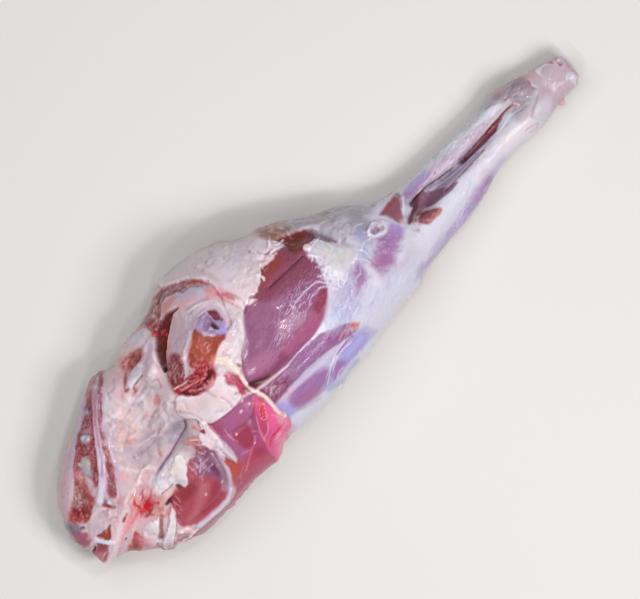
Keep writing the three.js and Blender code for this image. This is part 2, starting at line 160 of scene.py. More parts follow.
    # deep red-brown meat darkened with painted shade, for the cleft and other deep slits and holes
    SHADED_CLEFT_RED = Finish("#4A140E", lean=0.4, rough=0.6)
    # near-black painted shade in slits, holes and deep creases
    CREVICE_SHADE = Finish("#33161E", lean=0.3, rough=0.36)
    RIM_PINK = Finish("#A26074", lean=0.6, rough=0.2)
    # Bone and gristle.
    SPONGY_BONE = Finish("#8C4754", bone=0.7, rough=0.3)
    GRANULAR = Finish("#944649", bone=0.7, rough=0.3)
    RED_MARROW = Finish("#7E1E22", bone=0.5, rough=0.28)
    BONE_CREAM = Finish("#C7ACA9", bone=0.8, rough=0.34)
    BONE_TAN_GREY = Finish("#96777A", bone=0.9, rough=0.36)
    TAN_BONE = Finish("#9C4636", bone=0.35, rough=0.24)
    ORANGE_BONE = Finish("#A34E38", bone=0.15, rough=0.2)
    WHITE_BONE = Finish("#C4AEB4", bone=0.1, rough=0.24)
    DISC = Finish("#9B96A3", rough=0.16)
    DISC_GREEN = Finish("#98988F", rough=0.18)
    GRISTLE = Finish("#A88FB2", rough=0.15)
    KNUCKLE_CAP = Finish("#B9A5B0", fat=0.25, rough=0.26)
    # Blood.
    BLOOD = Finish("#C01A2A", lean=0.2, rough=0.12)
    CRIMSON = Finish("#9C2834", lean=0.4, rough=0.14)
    BLOOD_DARK = Finish("#7B2228", lean=0.2, rough=0.16)
    DRIED_BLOOD = Finish("#651A20", lean=0.3, rough=0.2)
    BLOOD_STAIN = Finish("#DE929C", fat=0.3, rough=0.2)
    VESSEL = Finish("#4E2238", rough=0.18)


# ---------------------------------------------------------------- the skin that forms and tissues are laid on


NOISE_GAIN = 1.6  # brings smooth noise to about -1 to 1
SEED_STEP = 13.7  # sets the noises of two seeds apart
SWAY_SLOPE = (-0.35, 0.1)  # minus the normal's z, from where the sides' sway sets in to where it is full
PATCHY_RANGE = (-0.25, 0.35)  # mottle, from where patchy tissue starts to go to where it is gone
STRAY_DEG = 16  # how far scattered streaks stray from their direction
STREAK_BEND = 0.5  # the most that one of them bends, as a share of its half length
STREAK_TAPER = 0.5  # its width at the end, as a share of that at the start
STREAK_FAINTEST = 0.4  # its strength at least, as a share of the most
STREAK_RAG_MM = 0.3  # how far its border wanders
CREST_SHARPNESS, CREST_POWER = 2.6, 1.5  # how narrow the crest of a wrinkle is, and how soft its foot
CREST_SWAY, CREST_SWAY_MM = 0.5, 0.9  # how far wrinkles sway: as a share of their distance, and at most
PATCH_STRETCH = (0.8, 0.3, 0.8)  # of the patches that wrinkles come in, against the wrinkles themselves
PATCH_RANGE = (-0.5, 0.3)  # noise, from where such a patch sets in to where it is full
GRAIN_MM = 0.25  # how far a pale grain stands out, and a dark pore lies in
GRAIN_RANGE = (0.2, 1.1)  # noise, from where a grain sets in to where it is full
# painted shade and painted highlight: hollows lose colour, crests gain it
HOLLOW_SHADE = np.array([0.24, 0.38, 0.34])  # how much red, green and blue a hollow loses
CREST_HIGHLIGHT_GAIN, CREST_HIGHLIGHT_TINT = 0.2, 0.015  # how much a crest gains, by its own colour and in white


def curve(corners: Path, closed: bool, steps: int = 4) -> np.ndarray:
    """Run a smooth curve through corners: a Catmull-Rom spline.

    Args:
        corners: the corners, in plan millimetres.
        closed: whether the curve returns to its first corner.
        steps: straight pieces between two corners.

    Returns:
        The curve's points, one row each, without a repeat of the first.
    """
    if isinstance(corners, str):
        corners = [corner.split(",") for corner in corners.split()]
    p = np.array(corners, dtype=float)
    if len(p) < 3:
        return p
    around = np.vstack([p[-1:], p, p[:2]]) if closed else np.vstack([p[:1], p, p[-1:]])
    t = np.arange(steps)[:, None] / steps
    runs = []
    for a, b, c, d in zip(around, around[1:], around[2:], around[3:]):
        runs.append(b + 0.5 * t * (c - a + t * (2 * a - 5 * b + 4 * c - d + t * (3 * (b - c) + d - a))))
    return np.vstack(runs + ([] if closed else [p[-1:]]))


def smoothstep(values: np.ndarray, low: float, high: float) -> np.ndarray:
    """Ease from 0 at low to 1 at high."""
    s = np.clip((values - low) / (high - low), 0, 1)
    return s * s * (3 - 2 * s)


def bearing(turn: float) -> tuple[float, float]:
    """Give the cosine and sine of a number of degrees."""
    return math.cos(math.radians(turn)), math.sin(math.radians(turn))


def noise_field(points: np.ndarray, size: float, seed: int) -> np.ndarray:
    """Read smooth noise at points.

    Args:
        points: places in millimetres, one row each.
        size: distance in millimetres over which the noise changes.
        seed: which noise.

    Returns:
        A number from about -1 to 1 for each point.
    """
    places = (points / size + SEED_STEP * seed).tolist()
    return np.array([noise.noise(p) for p in places]) * NOISE_GAIN


def layered(points: np.ndarray, *layers: Layer) -> np.ndarray:
    """Add up smooth noises of several sizes.

    Args:
        points: places in millimetres, one row each.
        layers: size, seed and share of each noise.

    Returns:
        Their sum at each point.
    """
    return sum(share * noise_field(points, size, seed) for size, seed, share in layers)


class Border(Enum):
    """How laid tissue ends: over how many millimetres it fades, and how far its border wanders."""

    KEEN = (0.9, 0.2)
    CRISP = (1.2, 0.5)
    TORN = (1.4, 1.0)
    CLEAN = (1.8, 0.4)
    EVEN = (2.0, 0.9)
    SMOOTH = (2.8, 0.5)
    SOFT = (3.0, 1.0)
    FADED = (4.5, 0.6)
    BLURRED = (4.6, 1.2)
    HAZY = (6.5, 0.9)
    DRIFTED = (6.5, 2.2)
    VEILED = (10.0, 2.2)


@dataclass
class Region:
    """The points of a skin near a shape: which they are, how deep inside, and how far along."""

    index: np.ndarray
    inside: np.ndarray
    along: np.ndarray

    def cover(self, edge: float, shift: np.ndarray | float = 0.0) -> np.ndarray:
        """Fade from 0 outside to 1 inside over an edge, with the border shifted by so much."""
        return smoothstep(self.inside + shift, -edge / 2, edge / 2)


class Skin:
    """A fine mesh while forms and tissues are laid on it."""

    def __init__(self, piece: bpy.types.Object) -> None:
        """Read the points of a piece, and the noises that make borders ragged and tissue patchy.

        Args:
            piece: the piece, whose mesh is already fine enough.
        """
        mesh = piece.data
        count = len(mesh.vertices)
        self.piece = piece
        self.place = np.empty(count * 3)
        mesh.vertices.foreach_get("co", self.place)
        self.place = self.place.reshape(-1, 3) * MM_PER_M + PLAN_ORIGIN_MM
        self.plan = self.place[:, :2].copy()
        self.normal = np.empty(count * 3, dtype=np.float32)
        mesh.vertex_normals.foreach_get("vector", self.normal)
        self.normal = self.normal.reshape(-1, 3).astype(float)
        self.colour = np.zeros((count, 3))
        self.traits = {name: np.zeros(count) for name in ("lean", "fat", "bone", "rough")}
        self.wrinkled = np.zeros(count)
        self.grain = np.zeros(count)
        self.lift = np.zeros(count)
        self.edges = np.empty(len(mesh.edges) * 2, dtype=np.int32)
        mesh.edges.foreach_get("vertices", self.edges)
        self.edges = self.edges.reshape(-1, 2).T
        self.tear = layered(self.place, (7.0, 1, 0.65), (2.4, 2, 0.45))
        self.mottle = layered(self.place, (4.5, 3, 0.6), (1.8, 4, 0.5))

    # -- finding points

    def inside(self, outline: Path, margin: float) -> Region:
        """Find the points in and near a closed outline.

        Args:
            outline: corners of the outline.
            margin: how far outside it still counts as near.

        Returns:
            The region, with distances that are negative outside.
        """
        line = curve(outline, True)
        region = self._near(line, np.roll(line, -1, axis=0), margin)
        odd = np.zeros(len(region.index), dtype=bool)
        x, y = self.plan[region.index].T
        for (ax, ay), (bx, by) in zip(line, np.roll(line, -1, axis=0)):
            if ay != by:
                odd ^= ((ay > y) != (by > y)) & (x < (bx - ax) * (y - ay) / (by - ay) + ax)
        region.inside = np.where(odd, -region.inside, region.inside)
        return region

    def beside(self, path: Path, widths: Pair, margin: float) -> Region:
        """Find the points on and near an open path.

        Args:
            path: its corners.
            widths: how wide it is at its start and at its end.
            margin: how far outside it still counts as near.

        Returns:
            The region, with the share of the path passed at each point.
        """
        line = curve(path, False)
        region = self._near(line[:-1], line[1:], max(widths) / 2 + margin)
        region.inside += (widths[0] + (widths[1] - widths[0]) * region.along) / 2
        return region

    def around(self, centre: Point, length: float, width: float, turn: float, margin: float) -> Region:
        """Find the points in and near an ellipse.

        Args:
            centre: its middle.
            length: along its first axis.
            width: along its second axis.
            turn: direction of the first axis in degrees.
            margin: how far outside it still counts as near.

        Returns:
            The region, with 0 at the middle and 1 at the rim as the share passed.
        """
        reach = max(length, width) / 2 + margin
        offset = self.plan - np.array(centre)
        index = np.flatnonzero((np.abs(offset) < reach).all(axis=1))
        x, y = offset[index].T
        c, s = bearing(turn)
        r = np.hypot((x * c + y * s) / (length / 2), (y * c - x * s) / (width / 2))
        return Region(index, (1 - r) * min(length, width) / 2, r)

    def _near(self, starts: np.ndarray, ends: np.ndarray, margin: float) -> Region:
        """Find the points near a chain of straight pieces.

        Args:
            starts: where each piece starts, one row each.
            ends: where it ends.
            margin: how far away still counts as near.

        Returns:
            The region, with minus the distance to the chain, and the share of the chain passed.
        """
        low = np.minimum(starts, ends).min(0) - margin
        high = np.maximum(starts, ends).max(0) + margin
        index = np.flatnonzero(((self.plan > low) & (self.plan < high)).all(axis=1))
        p = self.plan[index]
        best = np.full(len(index), np.inf)
        along = np.zeros(len(index))
        for i, (a, b) in enumerate(zip(starts, ends)):
            step = b - a
            share = np.clip((p - a) @ step / max(step @ step, 1e-9), 0, 1)
            gap = ((p - a - share[:, None] * step) ** 2).sum(1)
            nearer = gap < best
            best = np.where(nearer, gap, best)
            along = np.where(nearer, (i + share) / len(starts), along)
        return Region(index, -np.sqrt(best), along)

    def waver(self, sway_mm: float) -> None:
        """Shift the plan of the steep sides to and fro, so that what is laid there doesn't run straight down.

        Args:
            sway_mm: how far the steepest points shift.
        """
        steep = smoothstep(-self.normal[:, 2], *SWAY_SLOPE)
        for axis in (0, 1):
            shift = layered(self.place, (17, 51 + axis, 1.0), (5, 53 + axis, 0.3))
            self.plan[:, axis] += sway_mm * steep * shift

    # -- laying tissue

    def ground(self, tissue: Tissue) -> None:
        """Lay one tissue over everything."""
        self.colour[:] = linear(tissue.value.hex_code)
        for name, trait in self.traits.items():
            trait[:] = getattr(tissue.value, name)

    def _tint(self, tissue: Tissue, index: np.ndarray, cover: np.ndarray) -> None:
        """Blend a tissue's colour in at the indexed points, as much as it covers each."""
        self.colour[index] += (np.array(linear(tissue.value.hex_code)) - self.colour[index]) * cover[:, None]

    def lay(
        self, tissue: Tissue, region: Region, edge: float, rag: float, strength: float, height: float = 0.0,
        grain: float | None = None, patchy: float = 0.0,
    ) -> None:
        """Lay one tissue over a region.

        Args:
            tissue: what is laid.
            region: where.
            edge: width over which its border fades.
            rag: how far its border wanders.
            strength: how much of what lies below it hides.
            height: how far it stands above its surroundings.
            grain: direction of its fibres in degrees, or none to keep what is there.
            patchy: how much it comes and goes, from 0 to 1.
        """
        index = region.index
        cover = region.cover(edge, rag * self.tear[index])
        self.lift[index] += height * cover
        cover *= strength
        if patchy:
            cover *= 1 - patchy * smoothstep(self.mottle[index], *PATCHY_RANGE)
        self._tint(tissue, index, cover)
        for name, trait in self.traits.items():
            trait[index] += (getattr(tissue.value, name) - trait[index]) * cover
        if grain is not None:
            self.grain[index] = np.where(cover > 0.5, math.radians(grain), self.grain[index])

    def fill(
        self, tissue: Tissue, outline: Path, border: Border = Border.SMOOTH, strength: float = 1.0,
        height: float = 0.0, grain: float | None = None, patchy: float = 0.0,
    ) -> None:
        """Lay tissue inside an outline.

        Args:
            tissue: what is laid.
            outline: corners of the outline.
            border: how it ends.
            strength: how much of what lies below it hides.
            height: how far it stands above its surroundings.
            grain: direction of its fibres in degrees, or none to keep what is there.
            patchy: how much it comes and goes, from 0 to 1.
        """
        edge, rag = border.value
        self.lay(tissue, self.inside(outline, edge + 2 * rag), edge, rag, strength, height, grain, patchy)

    def streak(
        self, tissue: Tissue, path: Path, width: float | Pair, border: Border = Border.CRISP,
        strength: float = 1.0, height: float = 0.0, patchy: float = 0.0,
    ) -> None:
        """Lay tissue along a path.

        Args:
            tissue: what is laid.
            path: corners of the path.
            width: one width, or the width at the start and at the end.
            border: how it ends.
            strength: how much of what lies below it hides.
            height: how far it stands above its surroundings.
            patchy: how much it comes and goes, from 0 to 1.
        """
        edge, rag = border.value
        widths = width if isinstance(width, tuple) else (width, width)
        self.lay(tissue, self.beside(path, widths, edge + 2 * rag), edge, rag, strength, height, None, patchy)

    def spot(
        self, tissue: Tissue, centre: Point, length: float, width: float, turn: float = 0.0,
        border: Border = Border.BLURRED, strength: float = 1.0, height: float = 0.0, patchy: float = 0.0,
    ) -> None:
        """Lay tissue in an ellipse.

        Args:
            tissue: what is laid.
            centre: middle of the ellipse.
            length: along its first axis.
            width: along its second axis.
            turn: direction of the first axis in degrees.
            border: how it ends.
            strength: how much of what lies below it hides.
            height: how far it stands above its surroundings.
            patchy: how much it comes and goes, from 0 to 1.
        """
        edge, rag = border.value
        region = self.around(centre, length, width, turn, edge + 2 * rag)
        self.lay(tissue, region, edge, rag, strength, height, None, patchy)

    def scatter(
        self, tissues: Sequence[Tissue], centre: Point, spread: Pair, turn: float, length: Pair, width: Pair,
        count: int, seed: int, strength: float, height: float,
    ) -> None:
        """Lay short bent streaks about a place at random.

        Args:
            tissues: drawn from for each streak.
            centre: their middle.
            spread: how far they lie from it, along the turn and across it.
            turn: the streaks' own direction in degrees, from which each strays a little.
            length: shortest and longest.
            width: thinnest and thickest.
            count: how many.
            seed: of the random draws.
            strength: the most that a streak hides.
            height: the most that it stands above its surroundings.
        """
        draw = random.Random(seed)
        c, s = bearing(turn)
        for _ in range(count):
            u, v = draw.gauss(0, spread[0]), draw.gauss(0, spread[1])
            x, y = centre[0] + u * c - v * s, centre[1] + u * s + v * c
            heading = math.radians(turn + draw.gauss(0, STRAY_DEG))
            reach, bend = draw.uniform(*length) / 2, draw.uniform(-STREAK_BEND, STREAK_BEND)
            dx, dy = reach * math.cos(heading), reach * math.sin(heading)
            path = [(x - dx, y - dy), (x - bend * dy, y + bend * dx), (x + dx, y + dy)]
            thick, share = draw.uniform(*width), draw.uniform(STREAK_FAINTEST, 1)
            edge = 0.5 + 0.7 * thick
            region = self.beside(path, (thick, thick * STREAK_TAPER), edge + 2 * STREAK_RAG_MM)
            self.lay(draw.choice(tissues), region, edge, STREAK_RAG_MM, strength * share, height * share)

    def wrinkle(
        self, tissue: Tissue, outline: Path, turn: float, size: Pair, seed: int, strength: float, height: float,
        edge: float = 6.0,
    ) -> None:
        """Draw long soft wrinkles inside an outline: the zero lines of a stretched noise, in patches.

        Args:
            tissue: what shows on the crests.
            outline: corners of the area.
            turn: direction of the wrinkles in degrees.
            size: their length and their distance from each other.
            seed: which wrinkles.
            strength: how much of what lies below the crests hide.
            height: how far the crests stand above their surroundings.
            edge: width over which they fade at the outline.
        """
        region = self.inside(outline, edge)
        c, s = bearing(turn)
        x, y, z = self.place[region.index].T
        sway = min(CREST_SWAY * size[1], CREST_SWAY_MM) * self.mottle[region.index]
        lines = np.column_stack([(x * c + y * s) / size[0], (y * c - x * s + sway) / size[1], z / size[0]])
        crest = np.clip(1 - CREST_SHARPNESS * np.abs(noise_field(lines, 1.0, seed)), 0, 1) ** CREST_POWER
        patch = smoothstep(noise_field(lines * PATCH_STRETCH, 1.0, seed + 1), *PATCH_RANGE)
        cover = crest * patch * region.cover(edge)
        self.lift[region.index] += height * cover
        self._tint(tissue, region.index, strength * cover)

    def pucker(self, outline: Path, strength: float, edge: float = 8.0) -> None:
        """Let the fine wrinkles of a drying skin show inside an outline, as relief with a pale painted highlight on
        their crests.

        Args:
            outline: corners of the area.
            strength: how clearly they show, from 0 to 1.
            edge: width over which they fade at the outline.
        """
        region = self.inside(outline, edge)
        self.wrinkled[region.index] = np.maximum(self.wrinkled[region.index], strength * region.cover(edge))

    def grit(
        self, light: Tissue, dark: Tissue, outline: Path, size: float, seed: int, strength: float, edge: float = 3.0
    ) -> None:
        """Speckle the area inside an outline with pale grains and dark pores.

        Args:
            light: tissue of the grains.
            dark: tissue of the pores.
            outline: corners of the area.
            size: how far grains and pores lie apart.
            seed: which grains.
            strength: how much of what lies below they hide.
            edge: width over which they fade at the outline.
        """
        region = self.inside(outline, edge)
        index = region.index
        grains = layered(self.place[index], (size, seed, 1.0), (2.7 * size, seed + 1, 0.8))
        cover = strength * region.cover(edge)
        for tissue, way in ((light, 1), (dark, -1)):
            share = cover * smoothstep(way * grains, *GRAIN_RANGE)
            self.lift[index] += way * GRAIN_MM * share
            self._tint(tissue, index, share)

    # -- pure form

    def swell(
        self, centre: Point, length: float, width: float, turn: float, height: float, level: float | None = None
    ) -> None:
        """Raise a rounded swelling, or sink a hollow.

        Args:
            centre: its middle.
            length: along its first axis.
            width: along its second axis, and upwards where it has a level.
            turn: direction of the first axis in degrees.
            height: how far its middle rises, or sinks where it is negative.
            level: height of its middle above the floor, or none where it runs through every level.
        """
        region = self.around(centre, length, width, turn, 0)
        far = region.along
        if level is not None:
            far = np.hypot(far, 2 * (self.place[region.index, 2] - level) / width)
        self.lift[region.index] += height * np.clip(1 - far**2, 0, 1) ** 2

    def crease(self, path: Path, width: float, start: float, end: float | None = None) -> None:
        """Raise a ridge, or sink a furrow.

        Args:
            path: corners of its line.
            width: distance over which it falls away.
            start: its height at the start.
            end: its height at the end, or none where it is the same.
        """
        region = self.beside(path, (0, 0), width)
        end = start if end is None else end
        height = start + (end - start) * region.along
        self.lift[region.index] += height * np.exp(-((region.inside / (width / 2)) ** 2))

    def kept(self) -> dict[str, np.ndarray]:
        """Copy the colour and traits that are laid so far."""
        return {"colour": self.colour.copy(), **{name: trait.copy() for name, trait in self.traits.items()}}

    def fade_to(self, kept: dict[str, np.ndarray], share: np.ndarray) -> None:
        """Go back to a kept colour and kept traits.

        Args:
            kept: what was kept.
            share: how much of the present state stays at each point, from 0 to 1.
        """
        self.colour = kept["colour"] + (self.colour - kept["colour"]) * share[:, None]
        for name, trait in self.traits.items():
            trait += (kept[name] - trait) * (1 - share)

    # -- back to the mesh

    def evened(self, values: np.ndarray, rounds: int) -> np.ndarray:
        """Average a number of each point with its neighbours'.

        Args:
            values: a number for each point.
            rounds: how often it is averaged.

        Returns:
            The averaged numbers.
        """
        one, other = self.edges
        count = len(self.plan)
        shared = np.bincount(one, minlength=count) + np.bincount(other, minlength=count)
        for _ in range(rounds):
            sums = np.bincount(one, values[other], count) + np.bincount(other, values[one], count)
            values = 0.5 * values + 0.5 * sums / np.maximum(shared, 1)
        return values

    def shade_hollows(self, rounds: int, deep_mm: float) -> None:
        """Paint shade into what lies below its surroundings, darker and redder, and a highlight onto what stands
        above them.

        Args:
            rounds: how far round each point its surroundings reach.
            deep_mm: depth, or height, from which the shade is full.
        """
        place = self.place + self.normal * self.lift[:, None]
        even = np.column_stack([self.evened(axis, rounds) for axis in place.T])
        depth = ((even - place) * self.normal).sum(1)
        hollow = smoothstep(depth, 0, deep_mm)[:, None]
        crest = smoothstep(-depth, 0, deep_mm)[:, None]
        self.colour *= 1 - hollow * HOLLOW_SHADE
        self.colour += crest * (CREST_HIGHLIGHT_GAIN * self.colour + CREST_HIGHLIGHT_TINT)

    def settle(self) -> None:
        """Move the mesh's points by their lift, along their normals, and store the tissues with it."""
        mesh = self.piece.data
        moved = (self.place + self.normal * self.lift[:, None] - PLAN_ORIGIN_MM) / MM_PER_M
        moved[:, 2] = np.maximum(moved[:, 2], 0)
        mesh.vertices.foreach_set("co", moved.ravel())
        tint = mesh.color_attributes.new("tissue", "FLOAT_COLOR", "POINT")
        tint.data.foreach_set("color", np.column_stack([self.colour, np.ones(len(moved))]).clip(0, 1).ravel())
        kind = mesh.color_attributes.new("kind", "FLOAT_COLOR", "POINT")
        kind.data.foreach_set("color", np.column_stack(list(self.traits.values())).ravel())
        mesh.attributes.new("wrinkled", "FLOAT", "POINT").data.foreach_set("value", self.wrinkled.clip(0, 1))
        c, s = np.cos(self.grain), np.sin(self.grain)
        x, y, z = self.place.T
        fibre = np.column_stack([x * c + y * s, y * c - x * s, z])
        mesh.attributes.new("fibre", "FLOAT_VECTOR", "POINT").data.foreach_set("vector", fibre.ravel())
        mesh.update()


# ---------------------------------------------------------------- meshes


WELD_M = 1e-6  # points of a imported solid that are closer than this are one


def to_piece(bm: bmesh.types.BMesh, name: str) -> bpy.types.Object:
    """Turn a bmesh into an object of the scene, and free it.

    Args:
        bm: the bmesh.
        name: name of the object and its mesh.

    Returns:
        The object.
    """
    mesh = bpy.data.meshes.new(name)
    bm.to_mesh(mesh)
    bm.free()
    piece = bpy.data.objects.new(name, mesh)
    bpy.context.scene.collection.objects.link(piece)
    return piece


def relax(bm: bmesh.types.BMesh, rounds: int) -> None:
    """Smooth a bmesh some times over."""
    for _ in range(rounds):
        bmesh.ops.smooth_vert(bm, verts=bm.verts, factor=0.5, use_axis_x=True, use_axis_y=True, use_axis_z=True)


def fine_copy(nodes: Sequence[str], name: str, voxel_mm: float, rounds: int) -> bpy.types.Object:
    """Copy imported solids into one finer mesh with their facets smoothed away.

    Args:
        nodes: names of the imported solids.
        name: name of the new piece.
        voxel_mm: size of its even faces.
        rounds: how often it is smoothed.

    Returns:
        The new piece.
    """
    bm = bmesh.new()
    for node in nodes:
        bm.from_mesh(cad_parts[node].data)
    bmesh.ops.remove_doubles(bm, verts=bm.verts, dist=WELD_M)
    piece = to_piece(bm, name)
    remesh = piece.modifiers.new("even", "REMESH")
    remesh.mode = "VOXEL"
    remesh.voxel_size = voxel_mm / MM_PER_M
    even = bpy.data.meshes.new_from_object(piece.evaluated_get(bpy.context.evaluated_depsgraph_get()))
    piece.modifiers.clear()
    bm = bmesh.new()
    bm.from_mesh(even)
    relax(bm, rounds)
    bm.to_mesh(piece.data)
    bm.free()
    bpy.data.meshes.remove(even)
    return piece


def refine(piece: bpy.types.Object, wanted: Callable[[bmesh.types.BMFace], bool], rounds: int) -> None:
    """Halve the faces of a piece where it is wanted, and shade all of them smooth.

    Args:
        piece: the piece.
        wanted: says whether a face is to be halved.
        rounds: how often the result is smoothed.
    """
    bm = bmesh.new()
    bm.from_mesh(piece.data)
    edges = {edge for face in bm.faces if wanted(face) for edge in face.edges}
    bmesh.ops.subdivide_edges(bm, edges=list(edges), cuts=1, use_grid_fill=True)
    bmesh.ops.triangulate(bm, faces=[face for face in bm.faces if len(face.verts) > 4])
    relax(bm, rounds)
    for face in bm.faces:
        face.smooth = True
    bm.to_mesh(piece.data)
    bm.free()


# ---------------------------------------------------------------- finishes


def add_node(
    tree: bpy.types.NodeTree, kind: str, settings: dict[str, object], inputs: dict[str | int, object]
) -> bpy.types.Node:
    """Add a node with its settings and links.

    Args:
        tree: where it goes.
        kind: the node's type, without the word that all of them start with.
        settings: its properties.
        inputs: a value or another node's output for each input, by name or number.

    Returns:
        The node.
    """
    node = tree.nodes.new("ShaderNode" + kind)
    for name, value in settings.items():
        setattr(node, name, value)
    for name, value in inputs.items():
        if isinstance(value, bpy.types.NodeSocket):
            tree.links.new(value, node.inputs[name])
        else:
            node.inputs[name].default_value = value
    return node


@dataclass(frozen=True)
class Pattern:
    """A fine pattern of one tissue: its size, how much it breaks up, its relief and its colours from low to high."""

    size_mm: float
    detail: float
    relief: float
    stops: tuple[tuple[float, str], ...]


@dataclass(frozen=True)
class WetFlesh:
    """Raw flesh, fat and bone under a thin wet film.

    Light goes a little way in and comes back red, which softens the fat; the film gives small sharp glints.
    Fibres (0.1 mm in life), lobules and pores are drawn coarser than real, so that they show.
    """

    name: str
    fibres: Pattern = Pattern(0.8, 2.0, 0.12, ((0.3, "#EBDAE0"), (0.5, "#FFFFFF"), (0.7, "#FFFCFE")))
    lobules: Pattern = Pattern(3.4, 3.0, 0.8, ((0.3, "#E6CDCD"), (0.5, "#FFFBFA"), (0.7, "#FFFFFF")))
    pores: Pattern = Pattern(2.0, 3.0, 0.6, ((0.34, "#BC8486"), (0.5, "#F4DEDA"), (0.66, "#FFFFFF")))
    fibre_stretch: Triple = (0.1, 1.0, 0.7)  # along the fibre, across it and down into it
    wrinkles: Pattern = Pattern(1.8, 2.0, 0.8, ((0.45, "#000000"), (0.5, "#FFFFFF"), (0.55, "#000000")))
    wrinkle_stretch: Triple = (0.14, 1.0, 0.6)
    wrinkle_bend: float = 0.15
    # pale lilac painted highlight on the wrinkles' crests
    wrinkle_glint_code: str = "#CFB6D8"
    ripple_mm: float = 2.4  # of the wet film
    ripple_relief: float = 0.45
    bump_mm: float = 0.35
    rough_change: float = 0.12  # where lobules rise
    ior: float = 1.4
    specular: float = 0.2
    scatter_share: float = 0.1
    scatter_mm: float = 1.6
    scatter_reach: Triple = (1.0, 0.35, 0.25)  # red light goes the farthest through flesh
    film_share: float = 0.35
    film_rough: float = 0.08
    film_ior: float = 1.34  # water with a little protein

    def material(self) -> bpy.types.Material:
        """Build the material.

        Returns:
            The material.
        """
        made = bpy.data.materials.new(self.name)
        made.use_nodes = True
        tree = made.node_tree
        tree.nodes.clear()
        tissue, kind, fibre, wrinkled = (
            add_node(tree, "Attribute", {"attribute_name": name}, {})
            for name in ("tissue", "kind", "fibre", "wrinkled")
        )
        traits = add_node(tree, "SeparateColor", {}, {0: kind.outputs["Color"]})
        place = add_node(tree, "TexCoord", {}, {}).outputs["Object"]
        place = add_node(tree, "Mapping", {}, {"Vector": place, "Scale": (MM_PER_M,) * 3}).outputs[0]
        drawn, long = (
            add_node(tree, "Mapping", {}, {"Vector": fibre.outputs["Vector"], "Scale": stretch}).outputs[0]
            for stretch in (self.fibre_stretch, self.wrinkle_stretch)
        )

        # Each tissue's own pattern darkens it. Wrinkles are the zero lines of a stretched noise, where a thin skin
        # has dried over the muscle; besides their relief, their crests get a pale painted highlight.
        colour = tissue.outputs["Color"]
        heights, crests = [], None
        for vector, pattern in (
            (drawn, self.fibres), (place, self.lobules), (place, self.pores), (long, self.wrinkles)
        ):
            grain = add_node(
                tree, "TexNoise", {},
                {
                    "Vector": vector, "Scale": 1 / pattern.size_mm, "Detail": pattern.detail,
                    "Distortion": self.wrinkle_bend if pattern is self.wrinkles else 0.0,
                },
            ).outputs[0]
            ramp = add_node(tree, "ValToRGB", {}, {0: grain})
            ramp.color_ramp.elements.new(0.5)
            for stop, (position, hex_code) in zip(ramp.color_ramp.elements, pattern.stops):
                stop.position = position
                stop.color = (*linear(hex_code), 1)
            if pattern is self.wrinkles:
                crests = add_node(
                    tree, "Math", {"operation": "MULTIPLY"}, {0: ramp.outputs[0], 1: wrinkled.outputs["Fac"]}
                ).outputs[0]
                colour = add_node(
                    tree, "Mix", {"data_type": "RGBA"}, {0: crests, 6: colour, 7: (*linear(self.wrinkle_glint_code), 1)}
                ).outputs[2]
            else:
                colour = add_node(
                    tree, "Mix", {"data_type": "RGBA", "blend_type": "MULTIPLY"},
                    {0: traits.outputs[len(heights)], 6: colour, 7: ramp.outputs[0]},
                ).outputs[2]
                heights.append(grain)

        # Relief of the same patterns, each where its tissue is, with the ripples of the film.
        reliefs = (self.fibres.relief, self.lobules.relief, self.pores.relief)
        share = add_node(
            tree, "VectorMath", {"operation": "MULTIPLY"}, {0: kind.outputs["Color"], 1: reliefs}
        ).outputs[0]
        levels = add_node(tree, "CombineXYZ", {}, dict(enumerate(heights))).outputs[0]
        relief = add_node(tree, "VectorMath", {"operation": "DOT_PRODUCT"}, {0: levels, 1: share}).outputs["Value"]
        ripples = add_node(
            tree, "TexNoise", {}, {"Vector": place, "Scale": 1 / self.ripple_mm, "Detail": 2.0}
        ).outputs[0]
        for level, height in ((ripples, self.ripple_relief), (crests, self.wrinkles.relief)):
            relief = add_node(
                tree, "Math", {"operation": "MULTIPLY_ADD"}, {0: level, 1: height, 2: relief}
            ).outputs[0]
        bump = add_node(
            tree, "Bump", {}, {"Strength": 1.0, "Distance": self.bump_mm / MM_PER_M, "Height": relief}
        )
        rough = add_node(
            tree, "Math", {"operation": "MULTIPLY_ADD"},
            {0: heights[1], 1: self.rough_change, 2: kind.outputs["Alpha"]},
        )
        shader = add_node(
            tree, "BsdfPrincipled", {},
            {
                "Base Color": colour, "Roughness": rough.outputs[0], "Normal": bump.outputs[0],
                "IOR": self.ior, "Specular IOR Level": self.specular,
                "Subsurface Weight": self.scatter_share, "Subsurface Scale": self.scatter_mm / MM_PER_M,
                "Subsurface Radius": self.scatter_reach,
                "Coat Weight": self.film_share, "Coat Roughness": self.film_rough, "Coat IOR": self.film_ior,
            },
        )
        add_node(tree, "OutputMaterial", {}, {"Surface": shader.outputs[0]})
        return made


@dataclass(frozen=True)
class MattPaint:
    """A plain matt floor: it shows the shadow and little else."""

    name: str = "matt_floor_paint"
    hex_code: str = "#DAD8D5"
    rough: float = 0.9

    def material(self) -> bpy.types.Material:
        """Build the material.

        Returns:
            The material.
        """
        made = bpy.data.materials.new(self.name)
        made.use_nodes = True
        shader = made.node_tree.nodes["Principled BSDF"]
        shader.inputs["Base Color"].default_value = (*linear(self.hex_code), 1)
        shader.inputs["Roughness"].default_value = self.rough
        return made


# ---------------------------------------------------------------- the leg, region by region


T, B = Tissue, Border  # short, because every stroke below names them
NUB_LEVEL_MM = 15.5  # height above the floor of the nub at the knuckle


